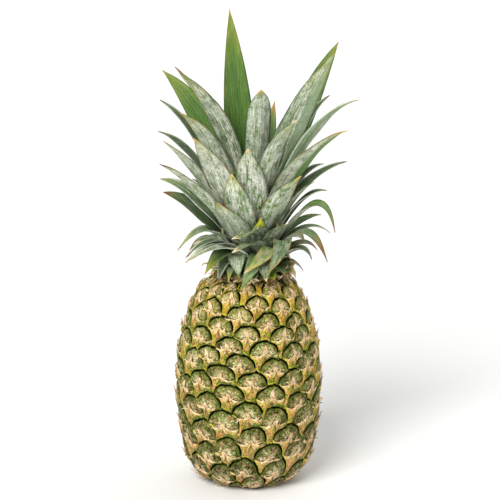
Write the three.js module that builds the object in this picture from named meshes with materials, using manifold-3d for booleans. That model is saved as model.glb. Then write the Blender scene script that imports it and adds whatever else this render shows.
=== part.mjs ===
// A whole pineapple standing on its base: the fruit with its spiral of eyes, the leafy crown on top and
// the cut stalk sunk in the base. Millimetres, +Z up, origin at the middle of the base it stands on.
import * as THREE from 'three';
import { mergeVertices } from 'three/addons/utils/BufferGeometryUtils.js';
import Module from 'manifold-3d';

const wasm = await Module();
wasm.setup();

// ---- Driving dimensions ------------------------------------------------------------------------------

const GAP = 0.3;                    // clearance between pieces that grow against each other
const FRUIT_HEIGHT = 178;           // base to the seat of the crown
const CUTTER_SIZE = 200;            // blocks that trim the fruit flat at both ends
const WELD_DISTANCE = 1e-4;         // vertices closer than this are one

// Half outline of the fruit without its relief, [radius, height]. It runs on past both flat ends.
const FRUIT_OUTLINE = [
  [24, -70], [24, -20], [25.5, -3], [42.5, 6], [50.5, 20.5], [55.5, 44], [58.6, 76],
  [57.8, 109], [52.6, 138], [44.6, 159], [38, 170], [28, 178], [25, 186], [24, 260],
];
const OUTLINE_SAMPLES = 480;        // points along the outline that measure its length

// Eyes: one spiral, each eye a fixed turn on from the last. Its length along the outline is a cubic of
// the eye's number, counted in hundreds.
const EYE_FIRST = -112;
const EYE_LAST = 84;
const EYE_TURN = THREE.MathUtils.degToRad(137.595);
const EYE_START = THREE.MathUtils.degToRad(-8);
const EYE_CLIMB = { start: 127.5, rise: 118.7, bow: -15, skew: 10, hundred: 100 };
const EYE_STEPS = { right: 8, left: 13 };   // the two families of spirals that neighbours lie on
const CELL_SIDES = 6;
const CORNER_SPREAD = 2;            // least distance from a cell's corner to the line between two eyes

// Relief of one eye, as heights above the outline from its border to its middle.
const GROOVE_DEPTH = 2.4;
const SHOULDER = { atCorner: 0.8, atEdge: 0.88, height: 1.1 };
const DOME = { reach: 0.46, height: 2.3 };
const BRACT_LIFT = 1.2;             // the bract over the lower half stands this much over the dome
const SPINE_TIP = { climb: 1.5, height: 5.6 };
const RELIEF_FADE = { length: 20, least: 0.35 };  // the relief dies away towards both flat ends

// Stalk: the round stub left in the base where the fruit was cut.
const STALK_RADIUS = 12.5;
const STALK_DEPTH = 6;
const STALK_SIDES = 24;

// Crown: a short stem packed with leaf bases, set a little off the fruit's axis, [radius, height].
const CROWN_OFFSET = 3;
const CROWN_FOOT = FRUIT_HEIGHT + GAP;
const CROWN_STEM = [
  [24, CROWN_FOOT], [26, 183], [26, 190], [23, 202], [19, 215], [14, 230], [8, 244], [0, 252],
];
const CROWN_STEM_SIDES = 14;
const ROOTS = { low: 178, lowRadius: 18, high: 240, highRadius: 4.5 };   // where blades start inside it

// Leaf blade section.
const BLADE_THICKNESS = { middle: 1.7, edge: 0.9, tip: 0.7 };
const BLADE_ROOT_SHARE = 0.6;       // half width at the root over the widest half width
const BLADE_WIDEST = 0.4;           // how far along the blade it is widest
const BLADE_TIP_HALF = 0.45;        // half width left at the very tip
const BLADE_TAPER = 1.8;
const BLADE_TURNED = 0.5;           // how far along the blade its turn is complete
const BLADE_CHANNEL = { root: 0.45, tip: 0.18 };   // depth of the trough over the half width
const SECTION_POINTS = 6;           // three along the upper face, three back along the lower face
const BLADE_SECTIONS = {            // where the sections of a blade stand, root to tip, by its length
  long: [0, 0.3, 0.55, 0.78, 0.94, 1],
  medium: [0, 0.4, 0.7, 0.92, 1],
  short: [0, 0.45, 0.85, 1],
};
const LONG_BLADE = 105;
const SHORT_BLADE = 60;             // blades between the two lengths are medium

// ---- Leaves ------------------------------------------------------------------------------------------

// A leaf leaves the stem at a height, in one upright plane, and bows towards a bend point on to its tip.
// azimuth is in degrees from +X towards +Y; bend and tip are [distance from the stem's axis, height];
// turn twists the blade about itself, sway carries its tip sideways, taper above 1.8 blunts the tip.
function leaf(azimuth, root, bend, tip, width, shape = {}) {
  return { azimuth, root, bend, tip, width, turn: 0, sway: 0, taper: BLADE_TAPER, ...shape };
}

const HEART_LEAVES = [
  leaf(145, 226, [13, 319], [23, 407], 25, { turn: 52, taper: 1.9 }),
  leaf(155, 222, [36, 313], [83, 348], 21, { turn: 50 }),
  leaf(216, 220, [27, 328], [78, 369], 22, { turn: -38 }),
  leaf(-70, 226, [19, 305], [30, 347], 22, { sway: -3, taper: 3.4 }),
  leaf(60, 226, [26, 287], [45, 319], 16, { turn: -10, sway: 4 }),
  leaf(25, 222, [49, 325], [80, 371], 21, { turn: -55, taper: 1.9 }),
  leaf(-42, 220, [38, 315], [93, 388], 26, { turn: 38, taper: 1.9 }),
];

const UPPER_LEAVES = [
  leaf(-60, 214, [24, 299], [71, 330], 19, { turn: 15, taper: 1.9 }),
  leaf(-5, 215, [37, 314], [65, 335], 17, { turn: -25 }),
  leaf(-24, 212, [52, 330], [97, 343], 17, { turn: 20 }),
  leaf(-32, 207, [39, 292], [94, 321], 21, { turn: 15 }),
  leaf(-50, 201, [31, 257], [61, 277], 23, { turn: 20 }),
  leaf(25, 206, [43, 270], [67, 268], 13),
  leaf(6, 203, [40, 268], [80, 276], 17, { turn: -10 }),
  leaf(172, 215, [43, 310], [78, 329], 13, { turn: 25 }),
  leaf(208, 214, [31, 303], [68, 330], 21, { turn: -35 }),
  leaf(228, 211, [40, 276], [72, 314], 26, { turn: -25, taper: 1.9 }),
  leaf(176, 209, [48, 295], [79, 303], 17, { turn: 10 }),
  leaf(202, 206, [52, 283], [80, 305], 17, { turn: -20 }),
  leaf(-98, 208, [24, 258], [38, 298], 29, { sway: 2, taper: 2.2 }),
  leaf(-125, 204, [25, 249], [38, 277], 26, { sway: 5, taper: 1.9 }),
  leaf(-138, 199, [16, 234], [41, 251], 28),
];

const MIDDLE_LEAVES = [
  leaf(-15, 200, [35, 253], [54, 265], 14, { turn: 10 }),
  leaf(-6, 197, [40, 257], [63, 255], 17),
  leaf(-18, 193, [61, 280], [73, 223], 18),
  leaf(12, 194, [41, 231], [60, 228], 14),
  leaf(208, 203, [52, 269], [87, 288], 18, { turn: -20 }),
  leaf(182, 199, [49, 260], [77, 264], 19, { turn: 25 }),
  leaf(186, 195, [45, 245], [75, 254], 23, { turn: 25 }),
  leaf(-78, 194, [24, 228], [34, 237], 28),
  leaf(-52, 192, [37, 230], [49, 236], 22),
];

const LOWER_LEAVES = [
  leaf(5, 190, [44, 234], [66, 214], 13),
  leaf(-24, 188, [48, 249], [69, 199], 16),
  leaf(15, 187, [26, 215], [40, 209], 14),
  leaf(2, 186, [43, 218], [55, 200], 14),
  leaf(-16, 185, [44, 218], [52, 197], 14),
  leaf(0, 183, [31, 199], [43, 183], 11),
  leaf(204, 189, [36, 245], [68, 209], 16),
  leaf(214, 188, [37, 237], [65, 206], 14),
  leaf(224, 187, [38, 237], [77, 206], 15),
  leaf(233, 186, [39, 230], [85, 213], 15),
  leaf(232, 185, [36, 227], [64, 195], 21),
  leaf(-85, 190, [30, 244], [46, 222], 24, { sway: -19 }),
  leaf(-92, 187, [32, 231], [48, 214], 22, { sway: -13 }),
  leaf(-82, 186, [30, 228], [44, 195], 19, { sway: -14 }),
  leaf(-60, 185, [30, 227], [44, 188], 16, { sway: -10 }),
  leaf(-92, 184, [29, 204], [43, 181], 15, { sway: -8 }),
  leaf(-112, 184, [27, 212], [38, 186], 20, { sway: 4 }),
  leaf(-120, 185, [28, 220], [40, 197], 16, { sway: 26 }),
];

// Behind, and all round the foot of the crown, leaves stand in even tiers, each stepping round by one angle.
const TIERS = [
  { count: 3, from: 62, step: 28, root: 214, bend: [37, 241], tip: [59, 270], width: 24 },
  { count: 4, from: 42, step: 33, root: 205, bend: [37, 244], tip: [61, 248], width: 22 },
  { count: 4, from: 55, step: 24, root: 196, bend: [41, 236], tip: [63, 225], width: 20 },
  { count: 4, from: 38, step: 36, root: 189, bend: [35, 222], tip: [56, 196], width: 18 },
  { count: 9, from: -150, step: 40, root: 182, bend: [32, 193], tip: [40, 181], width: 22 },
];

function tierLeaves() {
  return TIERS.flatMap(({ count, from, step, root, bend, tip, width }) =>
    Array.from({ length: count }, (_, i) => leaf(from + i * step, root, bend, tip, width)));
}

// ---- Solids ------------------------------------------------------------------------------------------

function toSolid(geometry) {
  const bare = geometry.clone();
  bare.deleteAttribute('normal');
  bare.deleteAttribute('uv');
  const merged = mergeVertices(bare, WELD_DISTANCE);
  const mesh = new wasm.Mesh({
    numProp: 3,
    vertProperties: new Float32Array(merged.attributes.position.array),
    triVerts: new Uint32Array(merged.index.array),
  });
  return new wasm.Manifold(mesh);
}

function toGeometry(solid) {
  const { vertProperties, triVerts } = solid.getMesh();
  const geometry = new THREE.BufferGeometry();
  geometry.setAttribute('position', new THREE.BufferAttribute(new Float32Array(vertProperties), 3));
  geometry.setIndex(new THREE.BufferAttribute(new Uint32Array(triVerts), 1));
  geometry.computeVertexNormals();
  return geometry;
}

// The outer skin alone: pockets that the joined leaves seal between them are filled, scraps dropped.
function outerSkin(solid) {
  const pieces = solid.decompose();
  return pieces.reduce((best, piece) => (piece.volume() > best.volume() ? piece : best));
}

function indexedGeometry(points, faces) {
  const geometry = new THREE.BufferGeometry();
  geometry.setAttribute('position', new THREE.Float32BufferAttribute(points.flatMap((p) => p.toArray()), 3));
  geometry.setIndex(faces.flat());
  return geometry;
}

function block(bottom) {
  const geometry = new THREE.BoxGeometry(CUTTER_SIZE, CUTTER_SIZE, CUTTER_SIZE);
  return geometry.translate(0, 0, bottom + CUTTER_SIZE / 2);
}

// ---- Fruit -------------------------------------------------------------------------------------------

// The outline as a smooth curve measured by its length from the ground plane up.
class Outline {
  constructor(points) {
    const curve = new THREE.SplineCurve(points.map(([radius, height]) => new THREE.Vector2(radius, height)));
    this.samples = curve.getPoints(OUTLINE_SAMPLES);
    this.lengths = [0];
    for (let i = 1; i < this.samples.length; i += 1) {
      this.lengths.push(this.lengths[i - 1] + this.samples[i].distanceTo(this.samples[i - 1]));
    }
    const grounded = this.samples.findIndex((sample) => sample.y >= 0);
    const atGround = this.lengths[grounded];
    this.lengths = this.lengths.map((length) => length - atGround);
  }

  // Radius and height at an arc length, with the outward normal in the same plane.
  at(length) {
    const after = this.lengths.findIndex((value) => value > length);
    const last = this.samples.length - 1;
    const i = Math.min(Math.max(after < 0 ? last : after, 1), last);
    const share = (length - this.lengths[i - 1]) / (this.lengths[i] - this.lengths[i - 1]);
    const point = this.samples[i - 1].clone().lerp(this.samples[i], share);
    const along = this.samples[i].clone().sub(this.samples[i - 1]).normalize();
    return { radius: point.x, height: point.y, normal: new THREE.Vector2(along.y, -along.x) };
  }

  lengthAt(height) {
    return this.lengths[this.samples.findIndex((sample) => sample.y >= height)];
  }
}

// A point of the skin: turn is measured round the fruit from -Y towards +X, lift stands off the outline.
function skinPoint(outline, turn, length, lift) {
  const { radius, height, normal } = outline.at(length);
  const reach = radius + normal.x * lift;
  return new THREE.Vector3(reach * Math.sin(turn), -reach * Math.cos(turn), height + normal.y * lift);
}

function eyeCentre(number) {
  const { start, rise, bow, skew, hundred } = EYE_CLIMB;
  const t = number / hundred;
  return { turn: EYE_START + number * EYE_TURN, length: start + rise * t + bow * t * t + skew * t ** 3 };
}

// The eye that lies a number of steps on, with its turn unwound to lie beside the first.
function neighbour(number, steps) {
  const own = eyeCentre(number);
  const other = eyeCentre(number + steps);
  const turns = Math.round((other.turn - own.turn) / (2 * Math.PI));
  return { turn: other.turn - turns * 2 * Math.PI, length: other.length };
}

// Three neighbouring eyes meet at the point that lies as far from each of them. Corner A closes the cell
// between an eye and its right and upper neighbours, corner B between its upper and left ones; both lie on
// the line halfway to the upper neighbour, CORNER_SPREAD or more to its sides.
function corner(outline, number, side) {
  const { right, left } = EYE_STEPS;
  const own = eyeCentre(number);
  const upper = neighbour(number, right + left);
  const beside = neighbour(number, side === 'A' ? right : left);
  const { radius } = outline.at((own.length + upper.length) / 2);
  const toUpper = new THREE.Vector2((upper.turn - own.turn) * radius, upper.length - own.length);
  const toBeside = new THREE.Vector2((beside.turn - own.turn) * radius, beside.length - own.length);
  const fromBeside = toUpper.clone().sub(toBeside);
  const across = new THREE.Vector2(toUpper.y, -toUpper.x).normalize();
  if (across.dot(toBeside) < 0) across.negate();
  const off = Math.max(CORNER_SPREAD, -toBeside.dot(fromBeside) / (2 * across.dot(toBeside)));
  return {
    key: `${side}${number}`,
    turn: own.turn + (toUpper.x / 2 + across.x * off) / radius,
    length: own.length + toUpper.y / 2 + across.y * off,
  };
}

// The six corners of an eye's cell, anticlockwise from the upper right, unwound to lie beside the eye.
function cellCorners(outline, number) {
  const { right, left } = EYE_STEPS;
  const { turn } = eyeCentre(number);
  return [
    corner(outline, number, 'A'), corner(outline, number, 'B'), corner(outline, number - right, 'A'),
    corner(outline, number - right - left, 'B'), corner(outline, number - right - left, 'A'),
    corner(outline, number - left, 'B'),
  ].map((place) => {
    const turns = Math.round((place.turn - turn) / (2 * Math.PI));
    return { ...place, turn: place.turn - turns * 2 * Math.PI };
  });
}

function between(a, b, share) {
  return { turn: a.turn + (b.turn - a.turn) * share, length: a.length + (b.length - a.length) * share };
}

function fruitSkin(outline) {
  const points = [];
  const faces = [];
  const shared = new Map();
  const top = outline.lengthAt(FRUIT_HEIGHT);
  const add = ({ turn, length }, lift) => {
    const inside = Math.min(length, top - length) / RELIEF_FADE.length;
    const fade = THREE.MathUtils.lerp(RELIEF_FADE.least, 1, THREE.MathUtils.smoothstep(inside, 0, 1));
    points.push(skinPoint(outline, turn, length, lift * fade));
    return points.length - 1;
  };
  const addShared = (corner) => {
    if (!shared.has(corner.key)) shared.set(corner.key, add(corner, -GROOVE_DEPTH));
    return shared.get(corner.key);
  };
  for (let number = EYE_FIRST; number <= EYE_LAST; number += 1) {
    const centre = eyeCentre(number);
    const corners = cellCorners(outline, number);
    const lifted = (place) => (place.length < centre.length ? BRACT_LIFT : 0);
    const border = corners.map(addShared);
    const shoulder = corners.flatMap((corner, i) => {
      const middle = between(corner, corners[(i + 1) % CELL_SIDES], 0.5);
      return [between(centre, corner, SHOULDER.atCorner), between(centre, middle, SHOULDER.atEdge)];
    }).map((place) => add(place, SHOULDER.height + lifted(place) / 2));
    const dome = corners.map((corner) => between(centre, corner, DOME.reach))
      .map((place) => add(place, DOME.height + lifted(place)));
    const tip = add({ turn: centre.turn, length: centre.length + SPINE_TIP.climb }, SPINE_TIP.height);
    for (let i = 0; i < CELL_SIDES; i += 1) {
      const j = (i + 1) % CELL_SIDES;
      const [a, b, c] = [shoulder[2 * i], shoulder[2 * i + 1], shoulder[2 * j]];
      faces.push([border[i], b, a], [border[i], border[j], b], [border[j], c, b]);
      faces.push([a, b, dome[i]], [dome[i], b, dome[j]], [b, c, dome[j]], [dome[i], dome[j], tip]);
    }
  }
  return { points, faces };
}

// Edges that only one triangle uses run round the two open ends, and each is closed onto a pole.
function closeEnds({ points, faces }) {
  const edges = new Set(faces.flatMap(([a, b, c]) => [`${a}_${b}`, `${b}_${c}`, `${c}_${a}`]));
  const open = [...edges].map((edge) => edge.split('_').map(Number))
    .filter(([a, b]) => !edges.has(`${b}_${a}`));
  const foot = points.push(new THREE.Vector3(0, 0, -CUTTER_SIZE / 2)) - 1;
  const head = points.push(new THREE.Vector3(0, 0, FRUIT_HEIGHT + CUTTER_SIZE / 2)) - 1;
  const caps = open.map(([a, b]) => [b, a, points[a].z < FRUIT_HEIGHT / 2 ? foot : head]);
  return indexedGeometry(points, [...faces, ...caps]);
}

function stalk(radius, depth) {
  const geometry = new THREE.CylinderGeometry(radius, radius, depth, STALK_SIDES);
  return geometry.rotateX(Math.PI / 2).translate(0, 0, depth / 2);
}

function fruit() {
  const skin = toSolid(closeEnds(fruitSkin(new Outline(FRUIT_OUTLINE))));
  const below = toSolid(block(-CUTTER_SIZE));
  const above = toSolid(block(FRUIT_HEIGHT));
  const socket = toSolid(stalk(STALK_RADIUS + GAP, STALK_DEPTH + GAP));
  return toGeometry(skin.subtract(below).subtract(above).subtract(socket));
}

// ---- Crown -------------------------------------------------------------------------------------------

function rootRadius(height) {
  return THREE.MathUtils.mapLinear(height, ROOTS.low, ROOTS.high, ROOTS.lowRadius, ROOTS.highRadius);
}

function bladeHalfWidth(t, width, taper) {
  const swell = THREE.MathUtils.lerp(BLADE_ROOT_SHARE, 1, THREE.MathUtils.smoothstep(t, 0, BLADE_WIDEST));
  const past = Math.max(0, (t - BLADE_WIDEST) / (1 - BLADE_WIDEST));
  return Math.max(BLADE_TIP_HALF, (width / 2) * swell * (1 - past ** taper));
}

function bladeSections(length) {
  if (length > LONG_BLADE) return BLADE_SECTIONS.long;
  return length > SHORT_BLADE ? BLADE_SECTIONS.medium : BLADE_SECTIONS.short;
}

// One section of a blade: edge, middle and edge along the upper face, then back along the lower face.
function bladeSection(spec, curve, sideways, t) {
  const centre = curve.getPoint(t).addScaledVector(sideways, spec.sway * t * t);
  const along = curve.getTangent(t).addScaledVector(sideways, (2 * spec.sway * t) / curve.getLength());
  along.normalize();
  const across = sideways.clone().addScaledVector(along, -sideways.dot(along)).normalize();
  const outward = across.clone().cross(along);
  const turn = THREE.MathUtils.degToRad(spec.turn) * THREE.MathUtils.smoothstep(t, 0, BLADE_TURNED);
  across.applyAxisAngle(along, -turn);
  outward.applyAxisAngle(along, -turn);
  const half = bladeHalfWidth(t, spec.width, spec.taper);
  const trough = half * THREE.MathUtils.lerp(BLADE_CHANNEL.root, BLADE_CHANNEL.tip, t);
  const slim = (thickness) => THREE.MathUtils.lerp(thickness, BLADE_THICKNESS.tip, t) / 2;
  const point = (side, face) => {
    const thickness = side === 0 ? slim(BLADE_THICKNESS.middle) : slim(BLADE_THICKNESS.edge);
    return centre.clone().addScaledVector(across, side * half)
      .addScaledVector(outward, face * thickness - Math.abs(side) * trough);
  };
  return [point(-1, -1), point(0, -1), point(1, -1), point(1, 1), point(0, 1), point(-1, 1)];
}

function bladeGeometry(spec) {
  const azimuth = THREE.MathUtils.degToRad(spec.azimuth);
  const inPlane = ([distance, height]) => new THREE.Vector3(
    distance * Math.cos(azimuth), distance * Math.sin(azimuth), height);
  const start = inPlane([rootRadius(spec.root), spec.root]);
  const curve = new THREE.QuadraticBezierCurve3(start, inPlane(spec.bend), inPlane(spec.tip));
  const sideways = new THREE.Vector3(-Math.sin(azimuth), Math.cos(azimuth), 0);
  const sections = bladeSections(curve.getLength());
  const segments = sections.length - 1;
  const points = sections.flatMap((t) => bladeSection(spec, curve, sideways, t));
  const faces = [];
  for (let i = 0; i < segments; i += 1) {
    for (let j = 0; j < SECTION_POINTS; j += 1) {
      const a = SECTION_POINTS * i + j;
      const b = SECTION_POINTS * i + ((j + 1) % SECTION_POINTS);
      const [d, c] = [a + SECTION_POINTS, b + SECTION_POINTS];
      // The same diagonal on both faces, so that they never cross.
      if (j < SECTION_POINTS / 2) faces.push([a, c, b], [a, d, c]);
      else faces.push([a, d, b], [b, d, c]);
    }
  }
  const end = SECTION_POINTS * segments;
  faces.push([0, 1, 4], [0, 4, 5], [1, 2, 3], [1, 3, 4]);
  faces.push([end, end + 4, end + 1], [end, end + 5, end + 4]);
  faces.push([end + 1, end + 3, end + 2], [end + 1, end + 4, end + 3]);
  return indexedGeometry(points, faces);
}

function crown() {
  const outline = [[0, CROWN_FOOT], ...CROWN_STEM].map((point) => new THREE.Vector2(...point));
  const stem = new THREE.LatheGeometry(outline, CROWN_STEM_SIDES).rotateX(Math.PI / 2);
  const leaves = [HEART_LEAVES, UPPER_LEAVES, MIDDLE_LEAVES, LOWER_LEAVES, tierLeaves()].flat();
  const solids = leaves.map((spec) => toSolid(bladeGeometry(spec)));
  const whole = solids.reduce((sum, solid) => sum.add(solid), toSolid(stem));
  return toGeometry(outerSkin(whole));
}

// ---- Assembly ----------------------------------------------------------------------------------------

function named(name, geometry, color, roughness) {
  const mesh = new THREE.Mesh(geometry, new THREE.MeshStandardMaterial({ color, roughness, metalness: 0 }));
  mesh.name = name;
  return mesh;
}

const pineapple = new THREE.Group();
const crownMesh = named('crown', crown(), 0x7d9470, 0.55);
crownMesh.position.x = CROWN_OFFSET;
pineapple.add(
  named('fruit', fruit(), 0xb08a3c, 0.6),
  named('stalk', stalk(STALK_RADIUS, STALK_DEPTH), 0xc9b183, 0.85),
  crownMesh,
);

export default pineapple;
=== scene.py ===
"""Dresses a whole pineapple: the rind with its spiral of eyes, the cut stalk and the leafy crown.

Sizes are in millimetres, as a grower would give them, and every mesh is made in metres. +Z is up, the fruit
stands on the plane z = 0, and -Y is the side shown first.
"""
from __future__ import annotations

import logging
import math
from dataclasses import dataclass, field
from enum import Enum

import bpy
import numpy as np
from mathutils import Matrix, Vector


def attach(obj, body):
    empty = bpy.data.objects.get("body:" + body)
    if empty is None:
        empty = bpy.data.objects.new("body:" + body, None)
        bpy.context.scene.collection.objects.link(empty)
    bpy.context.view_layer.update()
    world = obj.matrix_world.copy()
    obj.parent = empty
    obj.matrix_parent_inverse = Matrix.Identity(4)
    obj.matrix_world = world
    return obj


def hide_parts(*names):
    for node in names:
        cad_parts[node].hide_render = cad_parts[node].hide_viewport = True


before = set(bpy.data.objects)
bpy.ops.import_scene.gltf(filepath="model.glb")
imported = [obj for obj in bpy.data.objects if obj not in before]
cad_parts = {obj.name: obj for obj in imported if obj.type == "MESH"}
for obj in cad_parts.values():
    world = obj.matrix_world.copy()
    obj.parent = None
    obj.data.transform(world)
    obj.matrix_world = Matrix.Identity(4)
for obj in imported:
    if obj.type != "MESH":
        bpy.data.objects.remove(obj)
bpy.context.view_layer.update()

LOG = logging.getLogger("pineapple")
MM = 0.001
TINY = 1e-6
EYE_STEP = 137.5            # degrees from one eye or leaf to the next as they grow
Socket = bpy.types.NodeSocket
Array = np.ndarray


# ---- Small helpers -------------------------------------------------------------------------------

def smooth(value: Array, low: float, high: float) -> Array:
    """Smooth step: 0 at or below low, 1 at or above high, level at both."""
    share = np.clip((value - low) / (high - low), 0.0, 1.0)
    return share * share * (3 - 2 * share)


def lerp(start: Array, end: Array, share: Array) -> Array:
    """The value a share of the way from start to end."""
    return start + (end - start) * share


def bump(value: Array, middle: float, width: float) -> Array:
    """A bell that is 1 at the middle and fades over the width."""
    return np.exp(-((value - middle) / width) ** 2)


def unwound(angle: Array) -> Array:
    """An angle brought to between minus half a turn and half a turn."""
    return (angle + math.pi) % (2 * math.pi) - math.pi


def unit(vectors: Array) -> Array:
    """Vectors along the last axis scaled to a length of one."""
    return vectors / np.linalg.norm(vectors, axis=-1, keepdims=True)


def linear(code: str) -> tuple[float, float, float, float]:
    """A screen colour as the linear colour that shaders take.

    Args:
        code: six hexadecimal figures.

    Returns:
        Red, green, blue and a plain 1.
    """
    values = [int(code[i:i + 2], 16) / 255 for i in (0, 2, 4)]
    red, green, blue = [v / 12.92 if v <= 0.04045 else ((v + 0.055) / 1.055) ** 2.4 for v in values]
    return red, green, blue, 1.0


def run_length(line: Array) -> Array:
    """How far along a line of points each point lies: the running sum of the steps between them."""
    return np.concatenate([[0], np.cumsum(np.linalg.norm(np.diff(line, axis=0), axis=1))])


def along_line(stops: Array, run: Array, line: Array) -> Array:
    """Points at distances along a line whose own points lie at the run."""
    return np.stack([np.interp(stops, run, column) for column in line.T], 1)


def ring_quads(rows: int, around: int) -> Array:
    """Quads between rows of vertices that each close round.

    Args:
        rows: how many rows there are.
        around: how many vertices each has.

    Returns:
        For each quad a vertex, the one above it, the one above the next, and the next.
    """
    index = np.arange(rows * around).reshape(rows, around)
    after = np.roll(index, -1, 1)
    return np.stack([index[:-1], index[1:], after[1:], after[:-1]], -1).reshape(-1, 4)


def halved(quads: Array) -> Array:
    """Every quad as two triangles."""
    return np.concatenate([quads[:, [0, 1, 2]], quads[:, [0, 2, 3]]])


def fan(ring: Array, hub: int) -> Array:
    """Triangles from a hub to each side of a closed ring of vertices."""
    return np.stack([np.full(len(ring), hub), ring, np.roll(ring, -1)], 1)


def repeated(faces: Array, count: int, size: int) -> Array:
    """The faces of one shape for each of a count of them, which have a size of vertices each, in turn."""
    return (faces[None] + (np.arange(count) * size)[:, None, None]).reshape(-1, faces.shape[1])


def sheet_faces(rows: int, columns: int) -> Array:
    """Faces of a closed thin sheet whose vertices run by row, column and face (lower, upper).

    Args:
        rows: how many rows of vertices there are.
        columns: how many columns.

    Returns:
        Quads, anticlockwise from outside where the upper face looks along rows x columns.
    """
    index = np.arange(rows * columns * 2).reshape(rows, columns, 2)
    low, high = index[..., 0], index[..., 1]

    def quads(a: Array, b: Array, c: Array, d: Array) -> Array:
        """Stacks four corner grids into rows of quads."""
        return np.stack([a.ravel(), b.ravel(), c.ravel(), d.ravel()], 1)

    return np.concatenate([
        quads(high[:-1, :-1], high[:-1, 1:], high[1:, 1:], high[1:, :-1]),
        quads(low[:-1, :-1], low[1:, :-1], low[1:, 1:], low[:-1, 1:]),
        quads(low[:-1, 0], high[:-1, 0], high[1:, 0], low[1:, 0]),
        quads(low[:-1, -1], low[1:, -1], high[1:, -1], high[:-1, -1]),
        quads(low[0, :-1], low[0, 1:], high[0, 1:], high[0, :-1]),
        quads(low[-1, :-1], high[-1, :-1], high[-1, 1:], low[-1, 1:]),
    ])


def place_object(name: str, data: bpy.types.ID) -> bpy.types.Object:
    """Puts something into the scene.

    Args:
        name: the object's name.
        data: its mesh, lamp or camera.

    Returns:
        The object.
    """
    made = bpy.data.objects.new(name, data)
    bpy.context.scene.collection.objects.link(made)
    return made


def make_piece(name: str, points: Array, faces: Array, node: str, slot: str, material: bpy.types.Material,
               **attributes: Array) -> bpy.types.Object:
    """Puts points in millimetres and faces of equal size into a new smooth-shaded, dressed piece.

    Args:
        name: the piece's name.
        points: one row of x, y, z for each vertex.
        faces: one row of vertex numbers for each face, anticlockwise from outside.
        node: the CAD node that the piece stands for.
        slot: the slot that it would take its finish from; not used.
        material: the finish.
        attributes: by name, three or four numbers for each vertex, or else for each corner of each face.

    Returns:
        The object, at the origin with its place in its mesh.
    """
    mesh = bpy.data.meshes.new(name)
    count, sides = faces.shape
    mesh.vertices.add(len(points))
    mesh.vertices.foreach_set("co", (points * MM).astype(np.float32).ravel())
    mesh.loops.add(count * sides)
    mesh.loops.foreach_set("vertex_index", faces.astype(np.int32).ravel())
    mesh.polygons.add(count)
    mesh.polygons.foreach_set("loop_start", np.arange(0, count * sides, sides, dtype=np.int32))
    mesh.polygons.foreach_set("use_smooth", np.ones(count, dtype=bool))
    mesh.update(calc_edges=True)
    mesh.validate()
    mesh.materials.append(material)
    for label, values in attributes.items():
        kind, field_name = ("FLOAT_VECTOR", "vector") if values.shape[1] == 3 else ("FLOAT_COLOR", "color")
        domain = "POINT" if len(values) == len(points) else "CORNER"
        attribute = mesh.attributes.new(label, kind, domain)
        attribute.data.foreach_set(field_name, values.astype(np.float32).ravel())
    piece = place_object(name, mesh)
    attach(piece, "root")
    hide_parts(node)
    LOG.info("%s: %d faces", name, count)
    return piece


# ---- Shader helpers ------------------------------------------------------------------------------

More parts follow.
